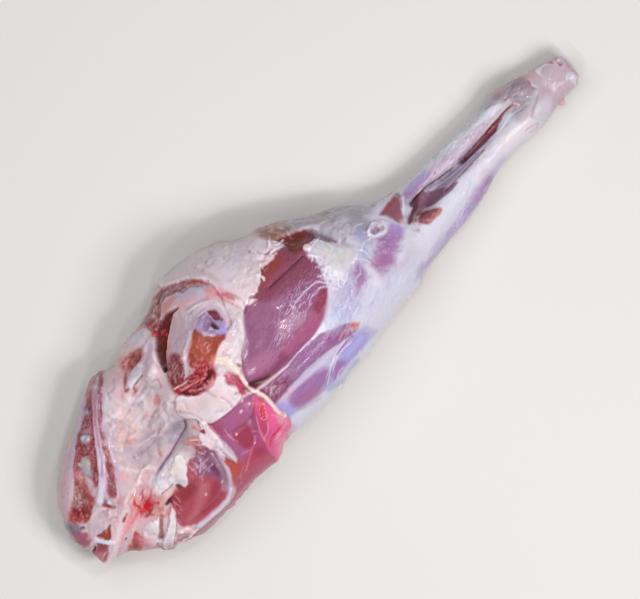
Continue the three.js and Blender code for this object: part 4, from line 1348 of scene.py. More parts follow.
@dataclass
class AitchSurround:
    """What lies round the bared aitch bone: the dark cleft, the sawn arc, gristle bands and smooth fat."""

    shoulder: Path = (
        "-113,40 -98,50 -82,56.5 -70,59 -60,57 -56,48 -60,38 -53,40 -47,52 -50,64 -60,73 -78,76 -92,70 -104,60 "
        "-112,51"
    )
    cleft: Path = (
        "-118,41.5 -117,46 -116,51 -113.4,57 -105,67.5 -98,71.6 -91,73 -84,72.4 -80.5,70.6 -86,70 -92,66 -107.4,53 "
        "-113,45 -116,41.5"
    )
    arc: Path = (
        "-103,79 -96,83.6 -90,87.4 -83,88 -74,87 -66,84 -60,80 -55,75 -52,70 -54,67.6 -57.5,70 -61,73.6 -66,76 "
        "-71,76.6 -74.5,80 -80,81 -86,80.6 -91.5,77 -94,74 -101,71.6"
    )

    def lay_on(self, skin: Skin) -> None:
        """Lay the region's tissues and forms.

        Args:
            skin: the skin that they are laid on.
        """
        fill, streak, spot = skin.fill, skin.streak, skin.spot
        fill(T.SMOOTH_FAT, "-129,14 -120,21 -108,12 -93,14 -84,11 -83,0 -86,-8 -96,-11 -112,-10.5 -119,-8 -122,0 "
            "-128,6", B.EVEN, 1, 1.4)
        streak(T.WARM_FAT, "-124,12 -112,6 -100,4", 8, B.FADED, 0.35)
        # grey lines of painted shade along the folds of the fat
        for path in (
            "-104,12 -101,4", "-98,0 -96,-5 -96,-10", "-128,12 -122,5 -119,-3", "-88,8 -86,0 -88,-5",
            "-108,-5 -104,-7",
        ):
            streak(T.GREY_FAT_AND_SHADE, path, 1.4, B.SMOOTH, 0.35, -0.7)
        skin.scatter((T.GREY_FAT_AND_SHADE, T.MEMBRANE), (-90, -7), (6, 1.6), 15, (1.5, 4), (0.7, 1.2), 22, 13, 0.5, -0.4)
        # Fat outside the cleft, sawn granular along its top.
        fill(T.RUMP_FAT, "-112,66 -108,88 -90,100 -60,104 -46,90 -44,66 -52,58 -60,68 -80,73 -96,69", B.SOFT, 0.9)
        streak(T.SALMON, "-104,80 -88,88 -80,88", (5, 4), B.BLURRED, 0.5, patchy=0.4)
        fill(T.GRANULAR, self.arc, B.EVEN, 1, -0.5)
        skin.grit(T.CREAM_EDGE, T.BROWN_LEAN, self.arc, 2, 135, 0.7)
        fill(T.MEMBRANE, "-84,82 -74,83 -66,80 -60,76 -64,82 -74,86 -84,86", B.SOFT, 0.6, patchy=0.4)
        streak(T.BROWN_LEAN, "-90,82 -82,86 -76.5,85.6", (2, 1.6), B.TORN, 0.85, -0.4)
        streak(T.RED_MARROW, "-100,74 -92,80 -86,82", (4, 3), B.SOFT, 0.6, patchy=0.3)
        streak(T.ORANGE_LEAN, "-66,80 -61,78 -56,73 -53.5,69", (3, 2.4), B.EVEN, 0.9)
        streak(T.SHADED_CLEFT_RED, "-72.5,80 -70,77 -66,77 -62,75 -57,71", (1.4, 1.2), B.TORN, 0.8, -0.8)
        skin.scatter((T.CREAM_EDGE, T.BROWN_LEAN, T.SALMON), (-66, 78.4), (5, 1.6), -28, (0.8, 2), (0.7, 1.2), 34, 14,
            0.6, 0.3)
        fill(T.SALMON, "-92,75 -88,79 -82,80 -76,79 -75,76 -82,75 -90,73")
        streak(T.CRIMSON, "-98,71 -90,72.6 -76,73", (2.4, 0.8), B.CLEAN, 0.75)
        skin.scatter((T.SALMON, T.GRANULAR, T.WHITE_FAT, T.RED_MARROW), (-97, 79), (5, 3.4), 30, (1, 3), (0.8, 1.5),
            60, 15, 0.55, 0.5)
        # Gristle shoulder: brushed bands that follow the bone, with painted grey shade along their furrows.
        fill(T.ASH_FAT, self.shoulder)
        streak(T.TAN_FAT, "-110,50 -92,65 -82,67", (6, 6), B.FADED, 0.85)
        streak(T.SALMON, "-112,44 -102,55", (7, 3), B.BLURRED, 0.75, patchy=0.2)
        streak(T.SALMON, "-79,71 -72,71 -66,69", (5, 3), B.FADED, 0.6)
        streak(T.LILAC_GREY, "-74,76 -66,74 -58,68 -53,60", (6, 8), B.FADED, 0.9)
        streak(T.VIOLET_BLUE, "-75,78 -71,74 -64,71", (3, 3), B.SMOOTH, 0.3)
        streak(T.WHITE_FAT, "-80,60 -70,62 -61,58 -56,50 -57,42", (4, 5), B.SMOOTH, 0.75, 0.5)
        skin.wrinkle(T.GREY_FAT_AND_SHADE, "-108,48 -86,68 -70,68 -84,56 -98,46", 42, (16, 2.4), 71, 0.4, -0.2, 3)
        skin.wrinkle(T.GREY_FAT_AND_SHADE, "-82,66 -66,70 -52,60 -54,48 -62,58 -76,60", -28, (14, 2.2), 73, 0.45, -0.2, 3)
        for path in ("-78,62.4 -63,60 -57,56", "-76,66 -67,64.6 -59,61", "-82,56 -80,60 -77,62", "-76,59 -75,63"):
            streak(T.GREY_RIND_AND_SHADE, path, 0.9, B.CLEAN, 0.38, -0.5)
        spot(T.GREY_FAT_AND_SHADE, (-76, 59.5), 14, 5, 15, B.BLURRED, 0.5)
        # the cleft beside the bone: sunk deep, with painted shade down its length
        fill(T.BROWN_LEAN, self.cleft, B.CLEAN, 1, -5.5)
        streak(T.SHADED_CLEFT_RED, "-117,43 -113,50 -103,62 -96,67", (2.4, 4.6), B.SOFT, 0.95)
        streak(T.RED_BROWN, "-108,63 -101,69 -92,72", (2.4, 2), B.SMOOTH, 0.6)
        streak(T.ORANGE_LEAN, "-113.6,47 -111.6,51 -105,56", (2.6, 1.6), B.CLEAN, 0.9)
        # Clotted blood, where the sawn arc meets the fat.
        fill(T.CRIMSON, "-108,79 -102,79 -101,74 -101,66 -104,64 -107.6,67 -105,72", B.EVEN, 1, -0.5)
        skin.scatter((T.BLOOD, T.DRIED_BLOOD, T.SHADED_CLEFT_RED, T.SALMON), (-104, 71.5), (2.2, 5), 0, (1.2, 3.5), (0.8, 1.6),
            44, 16, 0.85, 0.4)
        skin.grit(T.SALMON, T.DRIED_BLOOD, "-109,80 -101,80 -100,66 -105,63", 2.2, 137, 0.7)
        streak(T.ORANGE_LEAN, "-108,66 -106.5,71 -109,76 -113,77", 1.8, B.CRISP, 0.7)
        # Fat between the bone and the lip over the thigh.
        fill(T.RUMP_FAT, "-90,18 -80,28 -66,34 -58,36 -54,46 -50,56 -42,48 -44,39 -50,33 -58,22 -68,14 -72,8 -80,6",
            B.TORN, 1, 1.3)
        spot(T.WHITE_FAT, (-68, 21), 16, 8, 40, B.BLURRED, 0.6, 0.6)
        spot(T.GREY_FAT_AND_SHADE, (-56, 40), 7, 12, -20, B.BLURRED, 0.5)
        skin.scatter((T.SALMON, T.GREY_FAT_AND_SHADE, T.WHITE_FAT, T.MEMBRANE), (-60, 33), (9, 4), 35, (1.5, 5), (0.8, 1.8), 50,
            17, 0.5, 0.6)
        streak(T.SALMON, "-56,63 -51,57 -46,48", (7, 5), B.BLURRED, 0.75, patchy=0.25)
        streak(T.YELLOW_FAT, "-84,25 -79,18 -77,8 -78,-3", (6, 4), B.SOFT, 0.85, 0.6)
        fill(T.LOBE_RED, "-86,12 -81,10 -78,3 -79,-4 -82,-9.5 -86,-7 -85,0 -88,5", B.SMOOTH, 1, -0.8, grain=80)
        spot(T.SALMON, (-83, 7), 5, 8, 15, B.BLURRED, 0.5)
        spot(T.RIM_PINK, (-89.5, 19.5), 8, 6, 40, B.SOFT, 0.85)
        for x, y, length, turn in ((-73, 9.8, 4.5, -60), (-71.5, 6, 2, 60)):
            spot(T.GREY_RIND_AND_SHADE, (x, y), length, length * 0.5, turn, B.CRISP, 0.9, -0.8)


@dataclass
class RumpFat:
    """The thick cap of fat over the rump, ending in a torn lip over the thigh."""

    cap: Path = (
        "-78,104 -50,106 -20,96 0,88 6,76 4,66 -2,60 -8,59.5 -13.5,56.5 -18,51 -24,46 -30,41.6 -36,43 -41,40.5 "
        "-44.5,39 -46,43 -51,56 -50,68 -62,82 -80,90"
    )

    def lay_on(self, skin: Skin) -> None:
        """Lay the region's tissues and forms.

        Args:
            skin: the skin that they are laid on.
        """
        fill, streak, spot = skin.fill, skin.streak, skin.spot
        fill(T.RUMP_FAT, self.cap, B.TORN, 1, 1.8)
        fill(T.SMOOTH_FAT, "-44,66 -20,74 -4,70 -6,64 -18,53 -30,46 -42,44", B.DRIFTED, 0.6, patchy=0.2)
        # painted shade along the rump's upper edge, where it slopes away
        streak(T.GREY_RIND_AND_SHADE, "-70,97 -48,97 -30,90 0,76", 7, B.HAZY, 0.35, patchy=0.3)
        spot(T.WHITE_FAT, (-25, 71), 40, 18, -20, B.DRIFTED, 0.65)
        streak(T.LILAC_SKIN, "-40,62 -30,70 -14,72", 8, B.DRIFTED, 0.3)
        # small pits: painted shade in each, and a pale painted highlight beside it on the side towards the key light
        for x, y, length in (
            (-44, 82, 4), (-49, 79, 3), (-37, 84, 3), (-32, 76, 2.4), (-15, 68, 3), (-52, 84, 2.4), (-41, 79, 2),
            (-28, 82, 2),
        ):
            spot(T.GREY_RIND_AND_SHADE, (x, y), length * 0.7, length * 0.4, 20, B.EVEN, 0.3, -0.5)
            spot(T.WHITE_FAT, (x + 2, y - 1.5), length * 0.7, length * 0.5, 20, B.CLEAN, 0.6, 0.4)
        # grey lines of painted shade along shallow creases
        for path in (
            "-52,58 -60,74", "-46,62 -47,72 -54,84", "-16,70 -14,66 -10,64", "-24,58 -17,60 -11,57",
            "-34,52 -28,49 -26,46", "-40,72 -30,74 -20,80", "-22,66 -30,62 -38,60",
        ):
            streak(T.GREY_FAT_AND_SHADE, path, 1.4, B.FADED, 0.25, -0.35)
        skin.grit(T.WHITE_FAT, T.GREY_FAT_AND_SHADE, "-56,82 -50,90 -38,88 -30,80 -36,76 -48,76", 2.4, 139, 0.35, 8)
        skin.scatter((T.WHITE_FAT, T.WARM_FAT, T.GREY_FAT_AND_SHADE), (-20, 62), (14, 7), 35, (2, 5), (1, 2), 60, 18, 0.45, 0.6)
        streak(T.SALMON, "-55,64 -45,50", (7, 6), B.BLURRED, 0.95, patchy=0.1)
        streak(T.FLAP_PINK, "-52,60 -49,56 -46,50", (2, 3), B.SOFT, 0.55)
        skin.crease("-57,74 -57,62 -50,42", 14, 1.4)
        skin.crease("-85,84 -84,104", 14, 1.4)
        for path in ("-38,41 -35,40 -33,38.6", "-21,50 -19,48 -19.6,45.6", "-29,43 -26.6,43.4", "1,63 4.6,62 6,59"):
            streak(T.SMOOTH_FAT, path, (3.2, 1), B.TORN, 1, 0.7)
        for path in ("-12,60 -7,57 1,57", "0,62 5,59 10,60", "-14,55 -6,54.6 2,55.4", "-2,58 4,56.5 8,57"):
            streak(T.SMOOTH_FAT, path, (3.4, 1.4), B.TORN, 0.9, 1)


@dataclass
class Thigh:
    """The inner muscles of the thigh under their shining skin, and the strips along the front."""

    main: Path = (
        "-78,-8 -76,0 -72,8 -66,15 -56,23 -48,35 -43,40 -34,43 -26,44 -13,57 4,56 14,52 19,42 19,30 15,20 13,12 3,3 "
        "-6,-4 -18,-8.5 -36,-11.5 -56,-12.5 -68,-11"
    )

    def lay_on(self, skin: Skin) -> None:
        """Lay the region's tissues and forms.

        Args:
            skin: the skin that they are laid on.
        """
        fill, streak, spot = skin.fill, skin.streak, skin.spot
        fill(T.THIGH_LEAN, self.main, B.CLEAN, grain=22)
        fill(T.RED_BROWN, "-34,44 -13,58 14,54 20,40 17,26 0,28 -18,30 -34,36", B.HAZY, 0.65)
        spot(T.THIGH_PINK, (-62, 0), 26, 14, -15, B.HAZY, 0.75)
        streak(T.MAGENTA, "-40,-3 -22,-3 -6,0 4,8", (8, 12), B.HAZY, 0.65)
        streak(T.RED_MARROW, "-70,-8 -56,-9 -44,-6", (4, 5), B.FADED, 0.4)
        fill(T.RED_MARROW, "-6,2 3,4 11,10 12,13 4,13 -4,9", B.SMOOTH, 0.6)
        fill(T.RUST, "-24,46 -10,57 -2,56 0,50 -8,45 -18,43", B.VEILED, 0.95)
        skin.crease("-22,39 14,41", 2.6, -0.6)
        # painted shade in the slit
        streak(T.CREVICE_SHADE, "-20,39 13,41", (0.7, 0.9), B.KEEN, 0.9)
        for path in ("-22,41.4 -10,42.4 0,42", "-2,42.5 6,42 13,43", "-16,44.6 -6,44 2,45", "-20,40.4 -16,41"):
            streak(T.MAGENTA, path, (0.7, 0.4), B.KEEN, 0.5, 0.1)
        self._wrinkles(skin)
        for path, width in (
            ("-17,17 -8,19.5 2,20.4 9,20 13,16 20,8.5", (0.8, 1.5)), ("-4,13.5 4,14.8 10,14.6 18,7", (0.7, 1.2)),
            ("13,13 15,16 14,19", (0.8, 1.2)),
        ):
            streak(T.LILAC_WHITE, path, width, B.KEEN, 0.85, 0.5)
        # Dark hollow behind the knee.
        fill(T.BROWN_LEAN, "4,66 8,56 9,49 14,46 28,46 30,51 27,56 12,62", B.SOFT, 1, -1.2)
        fill(T.DARK_LEAN, "10,48 20,47 26,50 24,55 9,59", B.HAZY, 0.6, patchy=0.2)
        streak(T.RUST, "13,49 27,50", (3, 4), B.BLURRED, 0.6)
        self._strips(skin)

    def _wrinkles(self, skin: Skin) -> None:
        """Lay the small wrinkles of the muscle's skin, whose crests get a pale painted highlight.

        Args:
            skin: the skin that they are laid on.
        """
        spot = skin.spot
        skin.pucker("-46,4 -36,13 -20,23 -2,27 6,20 -2,10 -18,6 -34,0", 0.85, 12)
        skin.pucker("-54,6 -40,22 -20,32 8,34 14,24 -2,4 -30,-4 -48,-4", 0.16, 12)
        skin.pucker("-72,-14 -40,-12 -10,-12 6,-20 -8,-24 -72,-25", 0.3, 6)
        spot(T.THIGH_PINK, (-18, 16), 34, 10, 22, B.HAZY, 0.35)
        skin.wrinkle(T.THIGH_PINK, "-58,4 -44,18 -20,32 8,34 14,24 -4,6 -30,-4 -50,-6", 12, (16, 5), 85, 0.4, 0.1, 8)

    def _strips(self, skin: Skin) -> None:
        """Lay the long thin muscles along the front and the skins between them.

        Args:
            skin: the skin that they are laid on.
        """
        fill, streak, spot = skin.fill, skin.streak, skin.spot
        fill(T.LILAC_SKIN, "-76,-24 -50,-24 -10,-24 14,-26 18,-40 -20,-50 -80,-54 -74,-40", B.BLURRED, grain=6)
        fill(T.STRIP_LEAN, "-77,-10 -60,-13 -45,-13 -34,-10 -16,-10 0,-14 10,-18 14,-22 6,-26 -14,-24 -40,-24 "
            "-74,-28", B.CLEAN, grain=6)
        fill(T.RED_MARROW, "-77,-13 -66,-14 -52,-16 -54,-25 -74,-28", B.FADED, 0.5)
        streak(T.THIGH_PURPLE, "-34,-18 -18,-17 -4,-18", (6, 7), B.FADED, 0.8)
        fill(T.ORANGE_BEAD, "6,-19 12,-18 15,-22 11,-25 5,-23", B.SMOOTH, 0.85)
        streak(T.FLAP_PINK, "-6,-21 3,-22 9,-21", (2, 2.6), B.CLEAN, 0.6)
        skin.wrinkle(T.LILAC_WHITE, "-54,-14 -34,-12 -20,-13 -26,-23 -46,-24", 38, (8, 3), 89, 0.15, 0.12, 5)
        skin.wrinkle(T.LILAC_WHITE, "-30,-12 -8,-12 4,-18 -2,-24 -26,-24", 12, (12, 3), 91, 0.12, 0.1, 5)
        skin.scatter((T.CREAM_EDGE, T.LILAC_WHITE), (-66, -20), (4, 3), 10, (0.8, 2), (0.5, 0.9), 40, 33, 0.5, 0.25)
        fill(T.LILAC_SKIN, "-72,-30 -40,-27 -10,-28 12,-30 10,-38 -20,-46 -70,-46", B.HAZY)
        fill(T.THIGH_PURPLE, "-64,-36 -57,-29 -40,-28 -28,-31 -24,-37 -34,-42 -50,-44 -60,-42", B.HAZY, 0.8)
        spot(T.MAGENTA, (-49, -40), 18, 6, 0, B.BLURRED, 0.4)
        fill(T.VIOLET_BLUE, "-74,-31 -66,-31 -62,-38 -66,-43 -74,-42", B.FADED, 0.7)
        streak(T.LILAC_WHITE, "-56,-28 -22,-27 -12,-26", (3.5, 3), B.SMOOTH, 0.65)
        spot(T.WARM_FAT, (-60, -28.5), 12, 3, 0, B.SOFT, 0.5)
        fill(T.VIOLET_BLUE, "-34,-44 -8,-30 8,-28 14,-32 6,-39 -12,-43", B.HAZY, 0.85)
        streak(T.PERIWINKLE, "-8,-35 8,-32", (4, 4), B.FADED, 0.75)
        fill(T.MAGENTA_PURPLE, "-27,-42 -24,-37 -17,-34 -13,-38 -20,-42 -24,-46", B.BLURRED, 0.8)
        streak(T.MAGENTA_PURPLE, "-13,-29 -4,-27 4,-27", (2.4, 1.2), B.CLEAN, 0.85)
        for path, width in (
            ("-33,-42 -20,-32 -12,-28 -3,-25.6", (0.8, 1.4)), ("-24,-37.4 -16,-32 -8,-29.6 0,-29.6", (0.6, 1)),
            ("-31,-38 -22,-33 -14,-30.4", (0.5, 0.8)), ("-30,-48 -22,-41 -16,-40", 0.7),
        ):
            streak(T.LILAC_WHITE, path, width, B.KEEN, 0.85, 0.5)
        streak(T.FASCIA, "-84,-51 -70,-48.5 -40,-50 -26,-49 -8,-45 22,-41", (11, 9), B.SOFT)
        streak(T.FASCIA_BLUE, "-34,-46 -20,-47 -6,-44", (4, 6), B.BLURRED, 0.95)
        skin.swell((-28, -51), 6, 5, 0, 2.2)
        streak(T.GREY_FAT_AND_SHADE, "-62,-42 -54,-45 -44,-46", (2, 1), B.EVEN, 0.6)
        # The furrow above the strips, brown where it runs under the fat.
        groove = [(-77.5, -7), (-71, -8.5), (-62, -11)]
        skin.crease((*groove, (-44, -12)), 5, -2.5, -0.5)
        streak(T.DARK_LEAN, groove, (7, 2), B.SMOOTH, 0.9)
        streak(T.BROWN_LEAN, "-75,-14 -71,-22", (3.5, 2), B.CLEAN, 0.85)
        streak(T.CREAM_EDGE, "-77,-12 -56,-13 -46,-13", (2.2, 0.8), B.KEEN, 0.75, 0.6)
        streak(T.LILAC_WHITE, "-46,-12.6 -30,-10 -14,-9.4", (0.6, 1.2), B.KEEN, 0.7)
        fill(T.FASCIA, "-12,-9.4 -4,-5 4,1 10,8 15,13 22,4 30,-8 26,-24 14,-22 8,-17.5")
        skin.pucker("10,8 24,8 34,-2 28,-14 10,-14 2,-6", 0.5, 8)
        skin.wrinkle(T.FASCIA_BLUE, "-12,-10 6,2 16,14 34,6 40,-16 16,-22 4,-16", 32, (18, 2.6), 93, 0.7, -0.15, 6)
        skin.wrinkle(T.LILAC_SKIN, "-12,-10 16,12 34,6 60,-14 20,-34", 26, (22, 4), 95, 0.35, -0.1, 8)


@dataclass
class Knee:
    """The white skins and fat round the knee, torn where the muscles end."""

    pad: Path = "17,40 22,43 27,40.5 31,42 33,36 43,24 46,19 43,14 33,13 28,10 24,8 20,12 23,19 21,28 18,33"
    rim: Path = "-6,88 20,80 44,67 60,60 72,48 58,47 46,50 34,53 28,58 14,62 6,63 0,68"

    def lay_on(self, skin: Skin) -> None:
        """Lay the region's tissues and forms.

        Args:
            skin: the skin that they are laid on.
        """
        fill, streak, spot = skin.fill, skin.streak, skin.spot
        # Blue-white skin with the darker muscles that show through it.
        for tissue, centre, length, width, turn, strength in (
            (T.FASCIA_BLUE, (22, 1), 30, 14, 30, 0.8), (T.FASCIA_BLUE, (10, -9), 22, 10, 20, 0.95),
            (T.PERIWINKLE, (20, -8), 16, 9, 25, 0.35), (T.FASCIA_BLUE, (49, 14), 8, 14, -15, 0.9),
            (T.MUSCLE_SKIN, (37, 6), 14, 9, 50, 0.95), (T.MAGENTA_PURPLE, (38, 3), 8, 5, 40, 0.5),
            (T.MUSCLE_SKIN, (30, -1), 14, 7, 40, 0.75), (T.MUSCLE_SKIN, (58, 2), 26, 16, 25, 0.9),
            (T.FLAP_PURPLE, (56, 2), 15, 9, 20, 0.5), (T.MUSCLE_SKIN, (68, 5), 16, 9, 30, 0.6),
            (T.MUSCLE_SKIN, (67, 12), 18, 8, -42, 0.9), (T.MUSCLE_SKIN, (76, 12), 16, 11, 50, 0.95),
            (T.VIOLET_BLUE, (81, 12), 10, 10, 60, 0.8), (T.MUSCLE_SKIN, (80, 7), 9, 6, 40, 0.6),
            (T.DISC, (59, 27), 17, 12, 50, 0.9), (T.PERIWINKLE, (55, 26), 10, 9, 60, 0.5),
            (T.MUSCLE_SKIN, (71, -9), 26, 6, 14, 0.3),
        ):
            spot(tissue, centre, length, width, turn, B.VEILED, strength)
        streak(T.WHITE_SKIN, "44,6 45,-2 42,-8", (3, 6), B.FADED, 0.7)
        skin.scatter((T.WHITE_SKIN, T.FASCIA, T.FASCIA_BLUE), (20, -6), (8, 4), 35, (3, 9), (0.5, 1.2), 46, 41, 0.55,
            0.35)
        skin.scatter((T.WHITE_SKIN, T.LILAC_SKIN), (50, -20), (26, 6), 8, (5, 14), (0.6, 1.4), 60, 42, 0.3, 0.25)
        skin.scatter((T.WHITE_SKIN, T.DEEP_PURPLE, T.MUSCLE_SKIN), (66, 6), (8, 4), -30, (2, 6), (0.5, 1), 40, 43,
            0.4, 0.3)
        self._rim(skin)
        skin.swell((68, -29), 6, 5, 0, 2.2)
        # Grey translucent fat in lobes, then the white pad with its strands.
        fill(T.KNEE_GREY, "32,46 44,50 56,48 68,42 66,36 56,32 48,22 43,24 38,33", B.SOFT)
        for centre, length, width, turn in (
            ((43, 37), 12, 9, 20), ((54, 42), 12, 6, -10), ((50, 26), 8, 11, 40), ((41, 45), 12, 5, 10),
            ((51, 35), 9, 6, 20),
        ):
            spot(T.KNEE_FAT, centre, length, width, turn, B.BLURRED, 0.8, 0.8)
        for centre, length, width, turn, strength in (((61, 40), 12, 9, -20, 0.75), ((71, 38), 12, 8, -20, 0.7)):
            spot(T.DISC, centre, length, width, turn, B.BLURRED, strength, -0.4)
        skin.scatter((T.WHITE_SKIN, T.GREY_FAT_AND_SHADE, T.GREY_RIND_AND_SHADE), (50, 38), (9, 6), 20, (2, 6), (0.8, 1.8), 50, 44, 0.5,
            0.35)
        spot(T.DISC, (59, 27), 18, 12, 50, B.BLURRED, 0.85)
        spot(T.PERIWINKLE, (55, 26), 10, 9, 60, B.BLURRED, 0.45)
        fill(T.KNEE_FAT, self.pad, B.BLURRED, 1, 0.9)
        fill(T.GREY_CREAM, "28,36 42,22 34,18 26,22", B.HAZY, 0.8)
        streak(T.SLIT_LEAN, "29,51 38.5,34", (7, 2), B.SOFT, 0.75, -1.2)
        streak(T.BROWN_LEAN, "30,44 34,39", (1.6, 0.8), B.CRISP, 0.7)
        spot(T.SMOOTH_FAT, (19.4, 44), 5, 6.5, 10, B.CRISP, 1, 1.6)
        for path in (
            "19,41 32,44", "24,45 29,43 33,46", "17,38 21,34 23,30", "22,30 18,28 15,29", "22,24 16,21 12,23",
            "24,18 19,14 15,12", "22,12 20,8 21,5", "41,15 45,12 48,6", "38,14 43,16 49,17", "30,11 27,8 22,6",
            "46,20 50,15 50,8", "16,34 19,36 17,39", "52,31 57,33 63,31", "48,17 54,20 60,19",
        ):
            streak(T.WHITE_SKIN, path, (1.5, 0.5), B.CRISP, 0.85, 0.5)
        skin.scatter((T.VESSEL, T.DARK_LEAN), (20, 29), (6.4, 1.4), 75, (0.8, 2.4), (0.6, 1.2), 22, 111, 0.5, -0.3)
        skin.scatter((T.WHITE_SKIN, T.KNEE_FAT), (20, 28), (8, 2.4), 75, (1.5, 4), (0.6, 1.3), 34, 113, 0.6, 0.25)
        skin.scatter((T.WHITE_SKIN, T.WHITE_FAT, T.GREY_FAT_AND_SHADE), (31, 28), (6, 6), 40, (3, 8), (1, 2.2), 24, 115, 0.4,
            0.2)
        # Ring-shaped lump, with painted grey shade in its hollow.
        spot(T.FASCIA, (68, 21), 16, 11, -12, B.EVEN, 1, 1.2)
        spot(T.MUSCLE_SKIN, (65.5, 21), 7, 5, -10, B.CLEAN, 0.8, -1)
        spot(T.GREY_FAT_AND_SHADE, (70, 19.5), 5, 4, -10, B.CLEAN, 0.8, -0.8)
        skin.scatter((T.WHITE_SKIN, T.RIM_PINK, T.GREY_RIND_AND_SHADE), (67.5, 21), (4, 2.6), -20, (1.5, 4), (0.5, 1), 26, 45,
            0.6, 0.5)
        streak(T.WHITE_SKIN, "60,22 65,26.5 73,25 77,19", (1.2, 1), B.CRISP, 0.85, 0.6)

    def _rim(self, skin: Skin) -> None:
        """Lay the tan and grey rind behind the knee.

        Args:
            skin: the skin that they are laid on.
        """
        fill, streak = skin.fill, skin.streak
        fill(T.TAN_RIND, self.rim, B.SOFT, grain=-30)
        fill(T.BROWN_LEAN, "-1,76 8,73 20,66 26,59 14,60 0,68", B.BLURRED, 0.65, patchy=0.35)
        streak(T.KNEE_GREY, "24,64 60,50 72,43", (10, 8), B.BLURRED, 0.9)
        streak(T.GREY_RIND_AND_SHADE, "26,66 62,49 70,44", (4, 2), B.BLURRED, 0.5, patchy=0.35)
        skin.scatter((T.BROWN_LEAN, T.CREAM_EDGE, T.TAN_RIND), (10, 67), (8, 4), -35, (1.5, 4), (0.7, 1.4), 60, 46,
            0.45, 0.35)
        skin.scatter((T.WHITE_SKIN, T.GREY_RIND_AND_SHADE, T.KNEE_GREY), (44, 56), (13, 3), -26, (3, 9), (0.7, 1.4), 80, 47,
            0.5, 0.35)


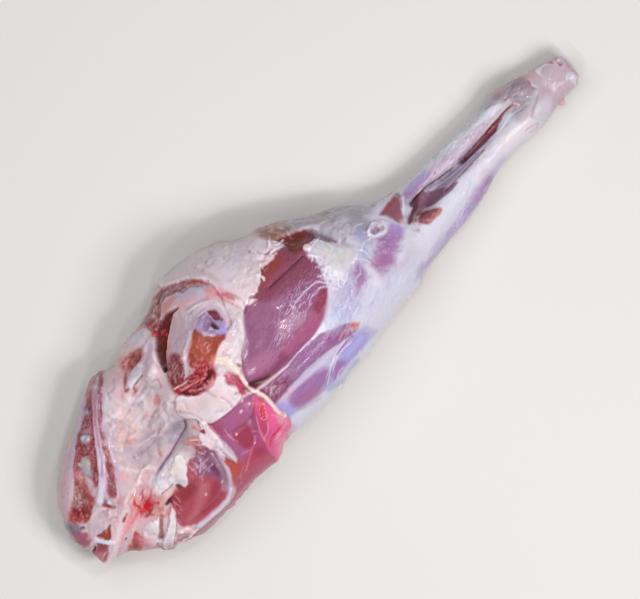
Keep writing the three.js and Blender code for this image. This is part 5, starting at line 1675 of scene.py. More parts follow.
@dataclass
class Shank:
    """The shank: the heel tendon and the shin with the dark slit between them."""

    slit: Path = ((148, 19.5), (160, 21), (172, 22.5), (184, 24), (194, 26), (204, 26.5))
    tendon: Path = "84,34 100,33 130,34 160,35.5 186,37 200,35"

    def lay_on(self, skin: Skin) -> None:
        """Lay the region's tissues and forms.

        Args:
            skin: the skin that they are laid on.
        """
        fill, streak, spot = skin.fill, skin.streak, skin.spot
        streak(T.SHIN_SKIN, "90,-4 160,5 200,8 226,14", (28, 30), B.HAZY, 0.85)
        fill(T.HEEL_SHEET, "98,25 104,32 150,32 180,32 202,29 196,25 172,23 150,20 112,20", grain=4)
        streak(T.MEMBRANE, "120,24 186,29", (6, 4), B.BLURRED, 0.5, patchy=0.3)
        streak(T.TENDON, self.tendon, (6.5, 8), B.SMOOTH)
        # a thin pale painted highlight along the tendon's crest
        streak(T.WHITE_SKIN, "110,33 160,35", (1.4, 2.2), B.CLEAN, 0.8, 0.3)
        fill(T.MUSCLE_SKIN, "94,24 102,30 116,31 124,28 102,22 96,20", B.FADED, 0.75)
        streak(T.VIOLET_SKIN, "104,29 122,30", 3, B.SMOOTH, 0.6)
        streak(T.RIM_PINK, "76,37 100,36", 2.4, B.EVEN, 0.65, patchy=0.3)
        self._lower(skin)
        # Small muscles at the top of the hollow.
        fill(T.TRIANGLE, "76,28.5 91,32 94,30.6 94,26 86,14.4 83,13 81,20 79,25", B.SMOOTH, 1, -0.4, grain=-60)
        spot(T.RIM_PINK, (86, 16), 7, 9, 20, B.BLURRED, 0.75)
        spot(T.SMOOTH_FAT, (85, 12.5), 5, 5, 20, B.BLURRED, 0.6)
        streak(T.RUST, "80,27 88,30 95,31", (2, 4), B.SMOOTH, 0.5)
        streak(T.RUST, "95.4,32 96,28 92.4,22", (1.4, 1), B.CRISP, 0.7)
        streak(T.WHITE_SKIN, "76,27 84,11", (1, 1.6), B.EVEN, 0.5, 0.3)
        streak(T.WHITE_SKIN, "97,27 88,13 95,16 104,21 112,23", (1.4, 1), B.EVEN, 0.7, 0.4)
        fill(T.SHANK_LEAN, "88,9 94,14 104,20 112,20.4 122,18.5 130,13 136,10 128,8 112,8.5 100,10.5", B.CLEAN,
            grain=12)
        fill(T.DARK_LEAN, "88,9 91,14 108,20 93,9", B.SMOOTH, 0.8)
        skin.crease("100,19 114,20 130,19 150,20", 4, -2.6)
        # painted shade along the slit
        streak(T.CREVICE_SHADE, "98,18 108,20 125,20 149,19.6", (1.8, 0.9), B.CRISP, 0.85)
        fill(T.GREY_RIDGE, "113,19 126,19 148,18.6 172,17 180,17 166,15 146,13.2 130,11 122,15", B.CLEAN, 1, 0.8,
            grain=3)
        streak(T.LILAC_WHITE, "116,18 136,16.4 158,17", (0.8, 1.4), B.KEEN, 0.5, 0.3)
        streak(T.VESSEL, "124,10.4 166,15.4", (0.9, 0.5), B.KEEN, 0.7, -0.8)
        fill(T.TAN_FAT, "90,6 94,11 100,13 106,10 94,3", B.SOFT, 0.7, patchy=0.3)
        fill(T.RED_BROWN, "94.5,6 101,10 114,2.6 103,0 97,1", B.EVEN, 0.95, grain=-12)
        skin.wrinkle(T.SALMON, "94,5 99,10 112,6 113,1 98,-1", -14, (10, 2.4), 97, 0.75, 0.2, 2)
        streak(T.ORANGE_BEAD, "101,1 107,1 113,3", (1, 2), B.EVEN, 0.7)
        streak(T.BROWN_LEAN, "93,8 98,11 104,11", (1.6, 0.8), B.TORN, 0.7)
        skin.scatter((T.WHITE_SKIN, T.BROWN_LEAN, T.LILAC_WHITE), (88.5, 2), (2, 4), -40, (1, 3), (0.6, 1.2), 30, 52,
            0.6, 0.4)
        skin.crease(self.slit, 4.5, -2.5, -1.5)
        fill(T.SLIT_LEAN, "147,19.4 160,22.4 188,26 196,27 186,23 176,19.6 154,18", B.CRISP, grain=6)
        streak(T.FLAP_RED, "160,20.6 184,24", (2, 2.4), B.SMOOTH, 0.45)
        streak(T.RUST, "182,25 192,26.4 203,27", (2.4, 1.6), B.CLEAN, 0.85)
        streak(T.YELLOW_FAT, "168,25 194,28.6 203,29", (1, 1.4), B.CLEAN, 0.55, 0.3)
        # painted shade down the slit
        streak(T.CREVICE_SHADE, "152,20 184,25 200,27", (0.9, 0.7), B.CRISP, 0.7)
        streak(T.WHITE_SKIN, "160,17 178,18 198,24", 1, B.CRISP, 0.6, 0.5)

    def _lower(self, skin: Skin) -> None:
        """Lay the shin, the heel and the torn skin at the ankle.

        Args:
            skin: the skin that they are laid on.
        """
        fill, streak, spot = skin.fill, skin.streak, skin.spot
        streak(T.WHITE_SKIN, "88,-8 112,1 140,5 200,8", (14, 9), B.HAZY, 0.75)
        streak(T.LILAC_GREY, "138,12 170,13", (3, 4), B.FADED, 0.8)
        streak(T.SMOOTH_FAT, "150,3 212,12", (6, 16), B.VEILED, 0.55)
        streak(T.YELLOW_FAT, "160,12 187,13", (1.5, 3), B.SMOOTH, 0.6)
        streak(T.LILAC_SKIN, "66,-24 130,-11 170,0", (3, 8), B.DRIFTED, 0.7)
        streak(T.MUSCLE_SKIN, "70,-24 124,-14 155,-4", (2, 10), B.VEILED, 0.75, patchy=0.15)
        streak(T.MAGENTA_PURPLE, "128,-11 154,-3", (6, 4), B.DRIFTED, 0.3)
        streak(T.VIOLET_BLUE, "90,-17 112,-14 132,-10", (3, 4), B.BLURRED, 0.4)
        skin.scatter((T.LILAC_WHITE, T.LILAC_SKIN), (112, -15), (18, 2.6), 14, (6, 16), (0.6, 1.2), 40, 53, 0.25,
            0.25)
        skin.scatter((T.WHITE_SKIN, T.LILAC_SKIN, T.TENDON), (140, 4), (30, 3), 5, (8, 20), (0.5, 1.1), 60, 54, 0.35,
            0.25)
        skin.scatter((T.WHITE_SKIN, T.TENDON, T.YELLOW_FAT, T.GREY_FAT_AND_SHADE), (146, 34.5), (26, 2.4), 2, (8, 22),
            (0.5, 1.1), 60, 55, 0.4, 0.25)
        skin.scatter((T.WHITE_SKIN, T.MEMBRANE, T.GREY_FAT_AND_SHADE), (150, 26), (26, 2.4), 5, (6, 16), (0.5, 1.1), 50, 56,
            0.4, 0.3)
        skin.scatter((T.GREY_RIND_AND_SHADE, T.VESSEL), (120, 27), (16, 4), 10, (0.8, 1.6), (0.5, 0.8), 22, 57, 0.5, -0.3)
        # Heel: folded skins, then the membrane's edge at the ankle.
        fill(T.DISC, "182,40 188,45 198,46 206,44 202,38 192,37", B.SMOOTH, 0.75)
        fill(T.HEEL_PINK, "194,38 200,44 208,46 222,41 225,33 222,26 212,25 206,30 198,33", B.BLURRED, 0.9)
        spot(T.WARM_FAT, (203, 42), 14, 5, -5, B.BLURRED, 0.5)
        spot(T.GREY_RIND_AND_SHADE, (216, 34), 10, 6, -20, B.BLURRED, 0.3)
        fill(T.GREY_FAT_AND_SHADE, "196,28 204,31 216,31 222,26 218,18 206,12 196,16 200,22", B.FADED, 0.6)
        spot(T.HEEL_PINK, (210, 26), 15, 9, 10, B.BLURRED, 0.5)
        # grey lines of painted shade along the heel's folds
        for path, width, tissue in (
            ("178,38 188,38 196,35 208,31", 1.1, T.GREY_RIND_AND_SHADE), ("200,33 210,34 219,31", 1, T.VESSEL),
            ("202,24 210,24 216,22", 1.2, T.GREY_RIND_AND_SHADE), ("206,36 214,38 220,37", 1, T.GREY_RIND_AND_SHADE),
            ("190,19 200,21 212,20", 1, T.GREY_RIND_AND_SHADE), ("206,12 210,14 214,17", 1, T.GREY_RIND_AND_SHADE),
        ):
            streak(tissue, path, width, B.EVEN, 0.32, -0.5)
        streak(T.CREAM_EDGE, "201.5,27 204,27 206.5,24.5 203.5,24", 1, B.KEEN, 0.85, 0.5)
        skin.scatter((T.CREAM_EDGE, T.GREY_RIND_AND_SHADE, T.MEMBRANE), (212, 30), (7, 5), 10, (2, 6), (0.6, 1.3), 26, 58, 0.25,
            0.3)
        for path in ("198,6.6 203,6.5 208,5", "200,3.6 205,3 209,5"):
            streak(T.ORANGE_BEAD, path, 1.1, B.CRISP, 0.6, -0.2)
        fill(T.KNUCKLE_CAP, "226,38 224,33 222.5,29 225,25 221,21 214,16.5 207.5,12 212,7 222,2 262,2 262,42",
            B.CRISP, 1, 0.9)
        spot(T.SHIN_SKIN, (217, 10), 22, 10, 25, B.BLURRED, 0.75)
        spot(T.WARM_FAT, (227, 35), 12, 7, -20, B.BLURRED, 0.5)
        # grey lines of painted shade along the knuckle's creases
        for path in ("224,36 222,29 224,25", "222,21 207,11"):
            streak(T.GREY_RIND_AND_SHADE, path, (1, 0.6), B.CLEAN, 0.25, -0.6)


@dataclass
class SpineFace:
    """The sawn face of the split backbone: spongy bodies, grey discs and the white cord between them."""

    bodies: Path = (
        "-241,2 -236,9 -231,12.5 -225,16 -222,21 -216,29 -210,34 -199,45 -189,51 -172,65 -166,69 -169,62 -178,50 "
        "-187,37 -196,25 -203,14 -216,4 -222,-1 -229,-5.5 -236,-5.5 -238,-1"
    )
    cord: Path = ((-167, 64), (-174, 54), (-183, 42), (-190, 31), (-197, 20), (-204, 10.5), (-211, 3), (-216, -1))
    arches: Path = (
        (-157, 68), (-163, 61.5), (-168, 56), (-177, 46), (-182, 37), (-187, 27), (-193, 15), (-199, 5.5),
        (-205, -2),
    )

    def lay_on(self, skin: Skin) -> None:
        """Lay the face's tissues and forms.

        Args:
            skin: the skin that they are laid on.
        """
        fill, streak, spot = skin.fill, skin.streak, skin.spot
        streak(T.MEMBRANE, self.arches, (7, 12), B.SOFT, 0.8)
        fill(T.GRANULAR, self.bodies, B.EVEN)
        for tissue, centre, length, width, turn, strength in (
            (T.RED_MARROW, (-233.5, 3.5), 13, 11, 20, 0.95), (T.ORANGE_LEAN, (-236, -2), 6, 5, 0, 0.5),
            (T.ORANGE_LEAN, (-238.5, 3.4), 6, 3, 20, 0.7), (T.BLOOD_DARK, (-231.6, 4.4), 3.6, 3, 0, 0.7),
            (T.SALMON, (-236, 9), 8, 3, 40, 0.6), (T.BONE_TAN_GREY, (-225.6, 9.4), 10, 9, 20, 0.95),
            (T.BONE_CREAM, (-228, 13), 12, 4, 35, 0.6), (T.SHADED_CLEFT_RED, (-227, -3), 4, 3, 0, 0.6),
            (T.TAN_BONE, (-221.5, 3.6), 8, 8, 30, 0.7), (T.RED_BROWN, (-220, 9), 7, 5, 30, 0.7),
            (T.RED_BROWN, (-219.5, 12), 7, 6, 50, 0.75), (T.TAN_BONE, (-220, 18), 9, 5, 40, 0.5),
            (T.SALMON, (-215, 24), 10, 6, 55, 0.7), (T.ORANGE_LEAN, (-210.6, 31), 6, 2, 45, 0.6),
            (T.BONE_CREAM, (-214, 20), 5, 7, 0, 0.6), (T.ASH_FAT, (-213.4, 13), 6, 13, -28, 0.95),
            (T.ASH_FAT, (-213.5, 7), 8, 6, 20, 0.8), (T.SPONGY_BONE, (-206, 15.5), 8, 11, -20, 0.95),
            (T.SPONGY_BONE, (-199.5, 34), 12, 8, 48, 0.9), (T.SPONGY_BONE, (-196.5, 29), 9, 6, 50, 0.8),
            (T.BONE_TAN_GREY, (-199, 34), 4, 3, 0, 0.7), (T.BONE_TAN_GREY, (-197, 30), 3, 5, 0, 0.6),
            (T.RED_MARROW, (-194.6, 32.4), 3.4, 3, 0, 0.7), (T.SPONGY_BONE, (-187, 48), 13, 7, 44, 0.95),
            (T.SALMON, (-189.6, 44), 4, 6, 40, 0.5), (T.BONE_TAN_GREY, (-187.5, 47.5), 4, 4, 0, 0.5),
            (T.DEEP_PURPLE, (-179, 57), 6, 8, 40, 0.6), (T.RED_MARROW, (-172, 64), 12, 5, 45, 0.6),
            (T.ORANGE_LEAN, (-173.5, 63), 8, 4, 45, 0.8), (T.SALMON, (-166.5, 69.5), 9, 4.5, 45, 0.8),
            (T.LOIN_RED, (-162.5, 70.5), 9, 6, 40, 0.9),
        ):
            spot(tissue, centre, length, width, turn, B.SOFT, strength)
        skin.grit(T.TAN_FAT, T.BROWN_LEAN, "-240,3 -230,14 -216,27 -210,24 -214,8 -224,-4 -237,-5", 1.7, 129, 0.35)
        skin.grit(T.SALMON, T.DRIED_BLOOD, "-208,34 -198,45 -180,59 -170,66 -168,60 -184,40 -200,18 -208,10", 1.6,
            131, 0.5)
        skin.scatter((T.TAN_FAT, T.BROWN_LEAN, T.SALMON, T.TAN_BONE), (-224, 11), (7, 5), 40, (0.8, 1.8), (0.6, 1.1),
            90, 61, 0.4, 0.3)
        skin.scatter((T.BONE_CREAM, T.DRIED_BLOOD, T.RED_MARROW, T.SALMON), (-197, 36), (10, 2.6), 48, (0.8, 1.8),
            (0.6, 1.1), 80, 62, 0.45, 0.3)
        for tissue, centre, length, width, turn in (
            (T.DISC, (-194, 41), 7.5, 7, 40), (T.DISC, (-207.2, 25), 6.4, 12, -20),
            (T.DISC_GREEN, (-205.4, 27.6), 7, 7, 0), (T.DISC, (-209.3, -7), 5, 5.5, 0),
            (T.DISC, (-181, 55), 3, 5, 40),
        ):
            spot(tissue, centre, length, width, turn, B.SMOOTH, 1, 0.3)
        # small white painted glints on the discs
        for centre, length, width in (
            ((-209.4, 29), 2.4, 3), ((-195, 42.4), 3.4, 2.4), ((-210.4, -6), 2.6, 3), ((-192.6, 39), 2, 2),
        ):
            spot(T.WHITE_SKIN, centre, length, width, 10, B.CLEAN, 0.75)
        spot(T.DISC, (-208, 19), 3, 5, 0, B.EVEN, 0.6)
        streak(T.DEEP_PURPLE, "-196,45 -193,44 -190,42", 1.2, B.CRISP, 0.7, -0.4)
        streak(T.CRIMSON, "-215,-5 -213,-8 -209.5,-11", (3.4, 1.6), B.CRISP, 1, -0.8)
        streak(T.SHADED_CLEFT_RED, "-219,-8 -214,-9.5 -210,-12", (1.1, 0.9), B.CRISP, 0.7, -0.5)
        spot(T.SALMON, (-205, -9), 7, 5, 30, B.SOFT, 0.7)
        spot(T.BONE_TAN_GREY, (-213.4, -3), 5, 5, 0, B.EVEN, 0.8)
        spot(T.RUST, (-218, 11), 9, 6, 50, B.SOFT, 0.5)
        spot(T.RUST, (-221, 2), 6, 6, 0, B.SOFT, 0.5)
        spot(T.RED_BROWN, (-212, 28), 5, 3.4, 45, B.SOFT, 0.6)
        # Arches: dark red pieces with pink skin between them.
        streak(T.SPONGY_BONE, "-156.5,69 -164.6,60", (3.2, 3), B.EVEN)
        streak(T.SPONGY_BONE, "-166,57.6 -177,45", (3, 3.4), B.EVEN)
        streak(T.SPONGY_BONE, self.arches[3:6], (3, 3.6), B.EVEN, 0.8)
        streak(T.TAN_BONE, self.arches[5:], (3.4, 7.4), B.EVEN, 0.8, -0.3)
        streak(T.SPONGY_BONE, self.arches[6:], (4.6, 6), B.SOFT, 0.6, patchy=0.3)
        spot(T.MEMBRANE, (-185.4, 30), 4, 6, 30, B.SOFT, 0.6)
        streak(T.RIM_PINK, "-163,61 -176,47", (2, 1.4), B.CLEAN, 0.5)
        streak(T.RED_BROWN, self.arches[:2], (1.6, 1.2), B.TORN, 0.7)
        skin.grit(T.MEMBRANE, T.BLOOD_DARK, "-160,68 -176,50 -190,26 -204,4 -202,-4 -190,16 -178,42 -160,62", 1.7,
            133, 0.5)
        skin.crease("-162,67 -180,46 -195,22 -203,12", 2.6, -0.6)
        streak(T.MEMBRANE, self.cord, (3, 5.6), B.CLEAN, 1, 0.7)
        streak(T.LILAC_WHITE, self.cord[2:], (1, 3), B.EVEN, 0.4, patchy=0.3)
        streak(T.LOIN_RED, self.cord[:4], (3.4, 1.6), B.EVEN, 0.55)
        streak(T.WHITE_SKIN, "-203,12 -209,5 -215,-0.5", (2.4, 3.4), B.CLEAN, 0.75)
        streak(T.MEMBRANE, self.cord[2:6], (3, 4), B.CLEAN, 0.4)
        skin.wrinkle(T.LILAC_WHITE, "-240,8 -214,34 -166,72 -160,60 -196,14 -216,-4", 50, (12, 2), 77, 0.22, 0.1, 2)


@dataclass
class AitchFace:
    """The bared face of the aitch bone: granular red, tan where it is smooth, capped with lilac gristle."""

    smooth_face: Path = (
        "-101,32 -98,37.5 -93,41.5 -88,44.5 -84,49.5 -80,50.5 -78,47 -79,43 -76,40.5 -73,37.5 -69,38 -66,35 -68,31.5 "
        "-74,30.5 -84,25 -90,21.5 -96,25"
    )
    cap: Path = "-80,51 -77,55 -70,57.5 -64,56 -60,51 -59.5,44 -62,38 -66,34.5 -70,37.5 -76,40.5 -79,45"

    def lay_on(self, skin: Skin) -> None:
        """Lay the face's tissues and forms.

        Args:
            skin: the skin that they are laid on.
        """
        fill, streak, spot = skin.fill, skin.streak, skin.spot
        fill(T.ASH_FAT, "-113,30 -108,46 -98,57 -76,60 -60,58 -56,46 -60,34 -90,30 -108,22", B.SOFT)
        skin.wrinkle(T.GREY_FAT_AND_SHADE, "-108,46 -90,58 -72,58 -84,52 -100,40", 42, (16, 2.2), 75, 0.35, -0.15, 3)
        fill(T.GRANULAR, "-121,24 -120,34 -111,46 -105,48 -102,42 -108.5,28", B.BLURRED)
        spot(T.RED_MARROW, (-115, 30), 9, 7, 60, B.BLURRED, 0.8, patchy=0.2)
        spot(T.SPONGY_BONE, (-109, 40), 12, 8, 60, B.BLURRED, 0.7, patchy=0.3)
        skin.scatter((T.SALMON, T.DRIED_BLOOD, T.BONE_CREAM), (-112, 35), (3.4, 5.4), -15, (0.8, 1.8), (0.6, 1.1), 90,
            63, 0.5, 0.4)
        skin.grit(T.SALMON, T.DRIED_BLOOD, "-121,24 -116,41 -108,47 -102,43 -108,28", 1.6, 123, 0.7)
        streak(T.SALMON, "-112,47 -102,53", (4, 3), B.BLURRED, 0.6)
        fill(T.TAN_BONE, self.smooth_face, B.CLEAN, 1, -0.4)
        fill(T.ORANGE_BONE, "-90,45 -81,49 -79,42 -84,34 -90,34 -94,40", B.FADED, 0.8)
        streak(T.RUST, "-82,38 -68,34", (6, 3), B.FADED, 0.55)
        spot(T.CRIMSON, (-96, 27), 12, 7, 20, B.BLURRED, 0.75)
        skin.scatter((T.SALMON, T.RED_MARROW, T.CRIMSON), (-95, 30), (4, 3.6), 40, (0.8, 2), (0.6, 1.1), 60, 64, 0.6,
            0.4)
        skin.scatter((T.SALMON, T.RUST), (-88, 35), (7, 5), 30, (0.8, 2), (0.6, 1.1), 40, 65, 0.4, 0.25)
        streak(T.WHITE_BONE, "-111,26 -106,30 -98,41.5 -91,46 -85,51", (1.4, 3), B.CLEAN, 1, 0.7)
        skin.scatter((T.SALMON, T.SMOOTH_FAT, T.MEMBRANE), (-100, 40), (7, 1.6), 48, (1, 3), (0.7, 1.4), 40, 68, 0.5,
            0.25)
        skin.grit(T.SALMON, T.RUST, "-100,30 -96,38 -88,42 -82,34 -88,26 -96,25", 1.8, 125, 0.4, 4)
        streak(T.LILAC_GREY, "-95,45 -83,54", (2, 4), B.SMOOTH, 0.7)
        fill(T.GRISTLE, self.cap, B.SMOOTH, 1, 0.6)
        streak(T.WHITE_FAT, "-79,53 -72,56 -64,56", (1.4, 2), B.SMOOTH, 0.6)
        spot(T.VIOLET_BLUE, (-67, 38), 9, 6, -20, B.BLURRED, 0.75)
        # darker purple round the holes: painted shade
        fill(T.DEEP_PURPLE, "-76,42 -74,50 -69,52 -66,46 -67,40 -72,39", B.BLURRED, 0.55)
        spot(T.LILAC_WHITE, (-70.6, 51), 4, 6, 0, B.SOFT, 0.5)
        skin.grit(T.LILAC_WHITE, T.DEEP_PURPLE, "-77,47 -74,54 -66,55 -61,48 -62,39 -68,37 -75,41", 2.6, 127, 0.5)
        fill(T.RED_BROWN, "-66.2,54 -64,55 -61,52 -60.4,49 -61,46 -63,45 -65.4,47", B.CLEAN, 1, -1.4)
        streak(T.SHADED_CLEFT_RED, "-66,55 -63,53 -61,50", (1.4, 1), B.CRISP, 0.7)
        spot(T.SHADED_CLEFT_RED, (-62, 43.6), 2.6, 3, 0, B.CLEAN, 0.7)
        # painted shade in the small hole
        spot(T.CREVICE_SHADE, (-68.4, 43), 3.6, 6.4, 12, B.CLEAN, 0.9, -1.4)
        # Torn red edge below the face.
        fill(T.CRIMSON, "-122,27 -110,27 -99,28 -91,26 -88,21 -91,15 -99,10.6 -109,12 -117,18", B.TORN)
        streak(T.SALMON, "-117,23 -103,20.6 -98,19", (1.4, 1), B.CRISP, 0.8, 0.5)
        streak(T.SALMON, "-113,19 -106,15 -100,13 -94,14.6", (1.2, 1.8), B.CRISP, 0.85, 0.5)
        streak(T.BLOOD_STAIN, "-108,12.6 -101,11 -95,12.4", (1.2, 1.6), B.CRISP, 0.85)
        streak(T.CREAM_EDGE, "-120,27 -108,25", (1.4, 0.8), B.KEEN, 0.8, 0.5)
        for path, width in (
            ("-109.6,24 -107,24.4 -104,23.6", (1.6, 1.2)), ("-101,25.4 -98,21", (1.4, 1.2)),
            ("-116,21 -106.6,17.6", (1, 1.6)), ("-97,22.6 -93,21 -90.4,19.6", (1.6, 2.2)),
        ):
            streak(T.DRIED_BLOOD, path, width, B.CRISP, 0.9, -0.8)
        streak(T.DRIED_BLOOD, "-106.6,17.6 -96,16.6 -91.6,19.4", (1.4, 3.8), B.TORN, 1, -1.2)
        spot(T.DRIED_BLOOD, (-104.6, 17.4), 8, 3.6, -10, B.EVEN, 0.8)
        streak(T.SHADED_CLEFT_RED, "-100,17 -96,17 -93,19", (0.8, 1.8), B.TORN, 0.8)
        skin.grit(T.SALMON, T.DRIED_BLOOD, "-118,24 -104,27 -90,24 -90,16 -100,11 -112,15", 1.8, 121, 0.6)
        skin.scatter((T.CRIMSON, T.SALMON, T.BLOOD), (-102, 22), (8, 2.4), -8, (1, 3), (0.5, 0.9), 50, 66, 0.6, 0.4)
        # painted shade in the black slit
        streak(T.CREVICE_SHADE, "-118,21.5 -113,15.4 -109.6,13", (1.6, 1), B.KEEN, 1, -1)
        streak(T.DRIED_BLOOD, "-109,17.4 -104,16.4 -98,17", (2.6, 1.6), B.TORN, 0.75)
        spot(T.ORANGE_BEAD, (-85, 25.4), 7, 4, 30, B.SOFT, 0.7)


@dataclass
class KnuckleFace:
    """The end of the shank bone under its pinkish gristle, red at the torn tip."""

    def lay_on(self, skin: Skin) -> None:
        """Lay the face's tissues and forms.

        Args:
            skin: the skin that they are laid on.
        """
        streak, spot = skin.streak, skin.spot
        spot(T.RIM_PINK, (240, 26), 26, 12, -10, B.HAZY, 0.3)
        spot(T.SHIN_SKIN, (243, 15), 22, 16, 0, B.VEILED, 0.6)
        spot(T.SHIN_SKIN, (232, 34), 14, 7, 0, B.BLURRED, 0.7)
        spot(T.RIM_PINK, (232, 9), 16, 7, 10, B.HAZY, 0.25)
        streak(T.WHITE_FAT, "230,35 238,35 244,33", (4, 2), B.SMOOTH, 0.7, 0.6)
        spot(T.ORANGE_LEAN, (245, 33.6), 7, 4, -28, B.EVEN, 0.9)
        spot(T.DRIED_BLOOD, (247.6, 30.8), 4, 2.5, -60, B.CLEAN, 0.8, -1)
        skin.crease("243,28.6 254,28.6", 3.4, -2.4)
        skin.crease("228,30 236,27 244,27.5", 3, -0.9)
        skin.crease("238,12 246,14 252,19", 4, -0.4)
        streak(T.BLOOD_STAIN, "251,25 253,20 253.4,14 250,9", 1.4, B.CLEAN, 0.6)
        nub = skin.around((233, 6.4), 6, 9, 0, 3)
        nub.inside -= 0.8 * np.abs(skin.place[nub.index, 2] - NUB_LEVEL_MM)
        skin.lay(T.BRIGHT_PINK, nub, 1.6, 0.4, 0.85)
        skin.scatter((T.WHITE_SKIN, T.RIM_PINK, T.MEMBRANE), (240, 20), (8, 8), 20, (2, 6), (0.8, 1.6), 40, 67, 0.3,
            0.3)


# ---------------------------------------------------------------- pieces


REGIONS = (  # of the upper side, in the order in which they are laid
    PelvicFat, HipCut, BloodSpot, RoundMuscle, AitchSurround, Thigh, Flank, RumpFat, Knee, Shank, SpineFace,
    AitchFace,
)
SIDE_TEAR = 0.05  # how ragged the border between the upper side and the rest is, in the normal's z
OUTLINE: Sequence[tuple[Path, float, float]] = (  # tags and bites along the outline: where, how wide and how high
    ("-84,95 -74,98 -50,98 -36,95", 12, -1.6), ("-14,82 -6,81 6,79", 10, -1.8), ("-166,72 -161,73 -156,72", 7, 1.6),
    ("-162,73 -161,74", 3, 1.6), ("-155,72 -149,71", 5, 1.2), ("-140,70 -134,74", 9, 1.8),
    ("-243,20 -236,29 -232,32", 8, 1.5), ("-249,4 -246,9", 8, -1.8), ("-249,-9 -247,-15 -245,-21", 6, 2.2),
    ("-245,-28 -244,-34 -242,-38", 6, 2.2), ("-243,-22.5 -242,-25", 3, -1.6), ("-216,-48 -206,-54 -196,-59", 9, 2.4),
    ("-142,-64 -132,-61.5 -116,-60.5 -98,-61", 8, 1.5), ("-86,-57 -78,-55", 7, -1.8), ("-29,-50 -21,-48", 5, 1.6),
    ("8,-43 14,-41", 6, 1.0), ("65,-31 67.5,-30", 3.6, 3.2), ("216,40 228,39", 7, 1.0), ("192,44 204,45", 8, 0.7),
)
KNUCKLE_TEARS: Sequence[Swelling] = (  # swellings and bites along the knuckle's outline
    ((247, 37.5), 16, 13, -30, -3.4, None), ((236, 39), 22, 8, -10, -0.6, None), ((249.5, 28.4), 5, 6, 0, -2.8, None),
    ((247.6, 33), 5, 4, 0, 1.2, None), ((233, 7.6), 6, 9, 0, 4.6, NUB_LEVEL_MM), ((256, 17), 10, 26, 0, -1.6, None),
    ((254, 8), 14, 12, 30, -2.6, None), ((242, 6), 12, 6, 10, -1.2, None),
)
BEDS: Sequence[Path] = (  # where the flesh dips under the faces of the backbone and the aitch bone
    "-163,66 -172,61 -186,53 -200,42 -214,29 -228,15 -238,4 -237,-4 -226,-5 -213,-9 -204,-9 -195,5 -187,22 -178,40 "
    "-168,55 -160,63",
    "-118,33 -117,25 -108,16 -96,13 -87,21 -77,28 -67,33 -60,41 -60,51 -68,56 -82,55 -98,54 -109,48",
)


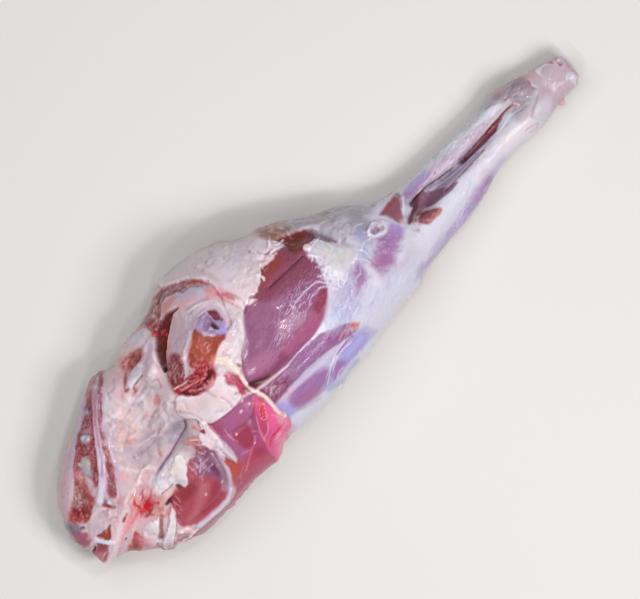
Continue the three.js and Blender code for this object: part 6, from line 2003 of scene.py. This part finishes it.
@dataclass
class Meat:
    """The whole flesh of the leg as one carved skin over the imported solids."""

    voxel_mm: float = 2.1
    smoothing: int = 12
    fine_slope: float = 0.4  # where normals point up more than this, the faces are halved
    bed_mm: float = 3.0  # how far the flesh dips under the bones
    bed_slope_mm: Pair = (0.2, 2.5)  # how far inside their outlines that sets in, and is full
    sway_mm: float = 7.0  # how far what runs down the sides wavers
    side_slope: Pair = (-0.4, 0.12)  # normals' z between which the outer side gives way to the upper one
    side_sway: Layer = (19.0, 55, 0.22)  # how that border wanders
    thinning_mm: float = 20.0  # distance over which the outer fat thins out
    form_slope: Pair = (-0.55, -0.05)  # normals' z between which forms set in
    warp_mm: float = 2.5  # how far lobes are bent out of round
    lobes: Sequence[Layer] = ((12.0, 30, 0.9), (5.6, 31, 0.5), (2.4, 32, 0.12))
    lobe_height_mm: float = 1.1
    thread_mm: float = 3.2
    thread_stretch: Triple = (0.3, 1.0, 1.0)
    thread_height_mm: float = 0.02
    tone_base: float = 0.4  # how much of the tones lean shows, where fat shows all of them
    tones: Sequence[tuple[float, int, Triple]] = (  # slow shifts of colour: size, seed, and red, green and blue
        (15, 41, (0.05, -0.04, -0.03)), (9, 42, (0.05, 0.04, 0.05)), (3.5, 43, (0.01, -0.03, -0.02)),
    )

    def build(self, finish: bpy.types.Material) -> bpy.types.Object:
        """Build the piece.

        Args:
            finish: its material.

        Returns:
            The finished piece.
        """
        nodes = ("leg_meat", "backbone", "aitch_bone", "shank_knuckle")
        piece = fine_copy(nodes, "flesh_and_fat", self.voxel_mm, self.smoothing)
        refine(piece, lambda face: face.normal.z > self.fine_slope, 2)
        skin = Skin(piece)
        for path, width, height in OUTLINE:
            skin.crease(path, width, height)
        for tear in KNUCKLE_TEARS:
            skin.swell(*tear)
        for outline in BEDS:
            bed = skin.inside(outline, 0)
            skin.lift[bed.index] -= self.bed_mm * smoothstep(bed.inside, *self.bed_slope_mm)
        outer = self._outer_side(skin)
        skin.waver(self.sway_mm)
        self._upper_side(skin)
        for region in REGIONS:
            region().lay_on(skin)
        self._soften(skin, outer)
        skin.settle()
        piece.data.materials.append(finish)
        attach(piece, "root")
        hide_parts("leg_meat")
        return piece

    def _outer_side(self, skin: Skin) -> dict[str, np.ndarray]:
        """Lay the outer side: fat with muscle showing pink through it.

        Args:
            skin: the skin it is laid on.

        Returns:
            Its colour and traits.
        """
        skin.ground(T.OUTER_FAT)
        everywhere = np.arange(len(skin.plan))
        thin = layered(skin.place, (42, 7, 1.0), (11, 8, 0.35))
        for tissue, level, strength in (
            (T.BLOOD_STAIN, 0.25, 0.4), (T.RIM_PINK, 0.5, 0.7), (T.THIGH_LEAN, 0.85, 0.6),
        ):
            skin.lay(tissue, Region(everywhere, (thin - level) * self.thinning_mm, thin), 6, 1.5, strength)
        rim = "-240,-30 -200,-52 -180,-62 -120,-60 -96,-60 -90,-90 -250,-90"
        skin.fill(T.RIM_PINK, rim, B.VEILED)
        skin.fill(T.MAGENTA, rim, B.VEILED, 0.3)
        return skin.kept()

    def _upper_side(self, skin: Skin) -> None:
        """Lay the two grounds of the upper side: fat at the hip, white skin over the rest."""
        skin.fill(T.PELVIC_FAT, "-270,-90 -270,110 -30,120 -60,20 -76,-90", B.HAZY)
        skin.fill(T.FASCIA, "-76,-90 -60,20 -30,120 270,110 270,-90", B.HAZY, grain=0)

    def _soften(self, skin: Skin, outer: dict[str, np.ndarray]) -> None:
        """Fade the upper side into the outer side, and raise the lobes of the fat and the threads of the lean.

        Args:
            skin: the skin with everything laid on it.
            outer: colour and traits of the outer side.
        """
        up = skin.normal[:, 2]
        border = up + layered(skin.place, self.side_sway) + SIDE_TEAR * skin.tear
        skin.fade_to(outer, smoothstep(border, *self.side_slope))
        skin.lift *= smoothstep(up, *self.form_slope)
        fat, lean = skin.traits["fat"], skin.traits["lean"]
        warp = np.column_stack([noise_field(skin.place, 9, seed) for seed in (24, 25, 26)])
        bent = skin.place + self.warp_mm * warp
        threads = noise_field(skin.place * self.thread_stretch, self.thread_mm, 23)
        skin.lift += fat * self.lobe_height_mm * layered(bent, *self.lobes)
        skin.lift += lean * self.thread_height_mm * threads
        for size, seed, tone in self.tones:
            strength = self.tone_base + (1 - self.tone_base) * fat
            skin.colour *= 1 + (strength * noise_field(bent, size, seed))[:, None] * np.array(tone)
        # painted shade in the hollows and painted highlight on the crests
        skin.shade_hollows(rounds=6, deep_mm=0.6)


@dataclass
class Bone:
    """One bone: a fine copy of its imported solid, with its bared face carved and laid with tissues."""

    node: str
    name: str
    slot: str
    face: SpineFace | AitchFace | KnuckleFace
    ground: Tissue = Tissue.WHITE_BONE
    tears: Sequence[Swelling] = ()
    voxel_mm: float = 1.0
    smoothing: int = 5
    proud_mm: float = 0.4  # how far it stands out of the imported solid
    pit_mm: float = 2.2
    pit_depth_mm: float = 0.35
    side_slope: Pair = (-0.3, 0.2)  # normals' z between which the bared face takes over
    form_slope: Pair = (0.2, 0.7)  # normals' z between which its forms set in

    def build(self, finish: bpy.types.Material) -> bpy.types.Object:
        """Build the piece.

        Args:
            finish: its material.

        Returns:
            The finished piece.
        """
        piece = fine_copy((self.node,), self.name, self.voxel_mm, self.smoothing)
        for polygon in piece.data.polygons:
            polygon.use_smooth = True
        skin = Skin(piece)
        up = skin.normal[:, 2]
        skin.ground(self.ground)
        plain = skin.kept()
        self.face.lay_on(skin)
        skin.fade_to(plain, smoothstep(up + SIDE_TEAR * skin.tear, *self.side_slope))
        skin.lift *= smoothstep(up, *self.form_slope)
        for tear in self.tears:
            skin.swell(*tear)
        pits = 1 + noise_field(skin.place, self.pit_mm, 31)
        skin.lift += self.proud_mm - skin.traits["bone"] * self.pit_depth_mm * pits
        # painted shade in the hollows and painted highlight on the crests
        skin.shade_hollows(rounds=5, deep_mm=0.3)
        skin.settle()
        piece.data.materials.append(finish)
        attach(piece, "root")
        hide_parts(self.node)
        return piece


# ---------------------------------------------------------------- studio


@dataclass(frozen=True)
class Lamp:
    """A square soft light that faces the leg: where it hangs in metres, its side and its power in watts."""

    name: str
    place: Triple
    side: float
    power: float
    colour: Triple = (1.0, 1.0, 1.0)

    def hang(self) -> None:
        """Hang it in the scene."""
        light = bpy.data.lights.new(self.name, "AREA")
        light.size, light.energy, light.color = self.side, self.power, self.colour
        holder = bpy.data.objects.new(self.name, light)
        holder.location = self.place
        holder.rotation_euler = (-Vector(self.place)).to_track_quat("-Z", "Y").to_euler()
        bpy.context.scene.collection.objects.link(holder)


@dataclass
class Studio:
    """A pale floor, soft light and a camera straight above the leg."""

    turn_deg: float = 40.0  # the leg runs up to the right in the picture
    centre_mm: Point = (2.6, 8.8)  # plan place in the middle of the picture
    width_mm: float = 470.0  # of the picture, at the height of the leg's widest outline
    outline_mm: float = 32.0
    lens_mm: float = 420.0
    sensor_mm: float = 36.0
    clip_end_m: float = 20.0
    floor_m: float = 4.0  # half its side
    sky: Triple = (0.93, 0.95, 1.0)
    sky_strength: float = 0.3
    lamps: Sequence[Lamp] = (
        Lamp("key", (0.3, -0.75, 1.4), 0.6, 12.0, (1.0, 0.985, 0.97)),
        Lamp("top", (-0.25, 0.55, 1.6), 1.2, 9.5, (0.98, 0.985, 1.0)),
        Lamp("glint_0", (0.1, -0.5, 1.2), 0.1, 1.6),
        Lamp("glint_1", (-0.4, -0.3, 1.3), 0.1, 1.6),
        Lamp("glint_2", (0.3, 0.1, 1.4), 0.1, 1.6),
    )

    def build(self) -> None:
        """Set the scene up."""
        scene = bpy.context.scene
        scene.view_settings.view_transform = "Standard"
        bm = bmesh.new()
        bmesh.ops.create_grid(bm, x_segments=1, y_segments=1, size=self.floor_m)
        floor = to_piece(bm, "floor")
        floor.data.materials.append(MattPaint().material())
        world = bpy.data.worlds.new("studio")
        world.use_nodes = True
        background = world.node_tree.nodes["Background"]
        background.inputs["Color"].default_value = (*self.sky, 1)
        background.inputs["Strength"].default_value = self.sky_strength
        scene.world = world
        for lamp in self.lamps:
            lamp.hang()
        self._camera()

    def _camera(self) -> None:
        """Hang the camera above the leg, with a long lens."""
        scene = bpy.context.scene
        camera = bpy.data.cameras.new("camera")
        camera.lens = self.lens_mm
        camera.sensor_width = self.sensor_mm
        camera.clip_end = self.clip_end_m
        holder = bpy.data.objects.new("camera", camera)
        x, y = (np.array(self.centre_mm) - PLAN_ORIGIN_MM[:2]) / MM_PER_M
        distance_mm = self.width_mm * self.lens_mm / self.sensor_mm + self.outline_mm
        holder.location = (x, y, distance_mm / MM_PER_M)
        holder.rotation_euler = (0, 0, -math.radians(self.turn_deg))
        scene.collection.objects.link(holder)
        scene.camera = holder


def report(pieces: Sequence[bpy.types.Object]) -> None:
    """Log the size of each piece.

    Args:
        pieces: the finished pieces.
    """
    for piece in pieces:
        triangles = sum(len(polygon.vertices) - 2 for polygon in piece.data.polygons)
        LOG.info("%s: %d triangles", piece.name, triangles)
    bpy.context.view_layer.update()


def main() -> None:
    """Build the leg and its studio."""
    logging.basicConfig(level=logging.INFO, format="%(name)s: %(message)s")
    Studio().build()
    knuckle = Bone(
        "shank_knuckle", "shank_knuckle_cap", "knuckle_gristle", KnuckleFace(), Tissue.KNUCKLE_CAP, KNUCKLE_TEARS
    )
    report([
        Meat().build(WetFlesh("wet_lamb_flesh_and_fat").material()),
        Bone("backbone", "split_backbone", "sawn_bone", SpineFace()).build(WetFlesh("sawn_spongy_bone").material()),
        Bone("aitch_bone", "bared_aitch_bone", "bared_bone", AitchFace()).build(
            WetFlesh("bared_bone_and_gristle").material()
        ),
        knuckle.build(WetFlesh("knuckle_gristle").material()),
    ])


if __name__ == "__main__":
    main()
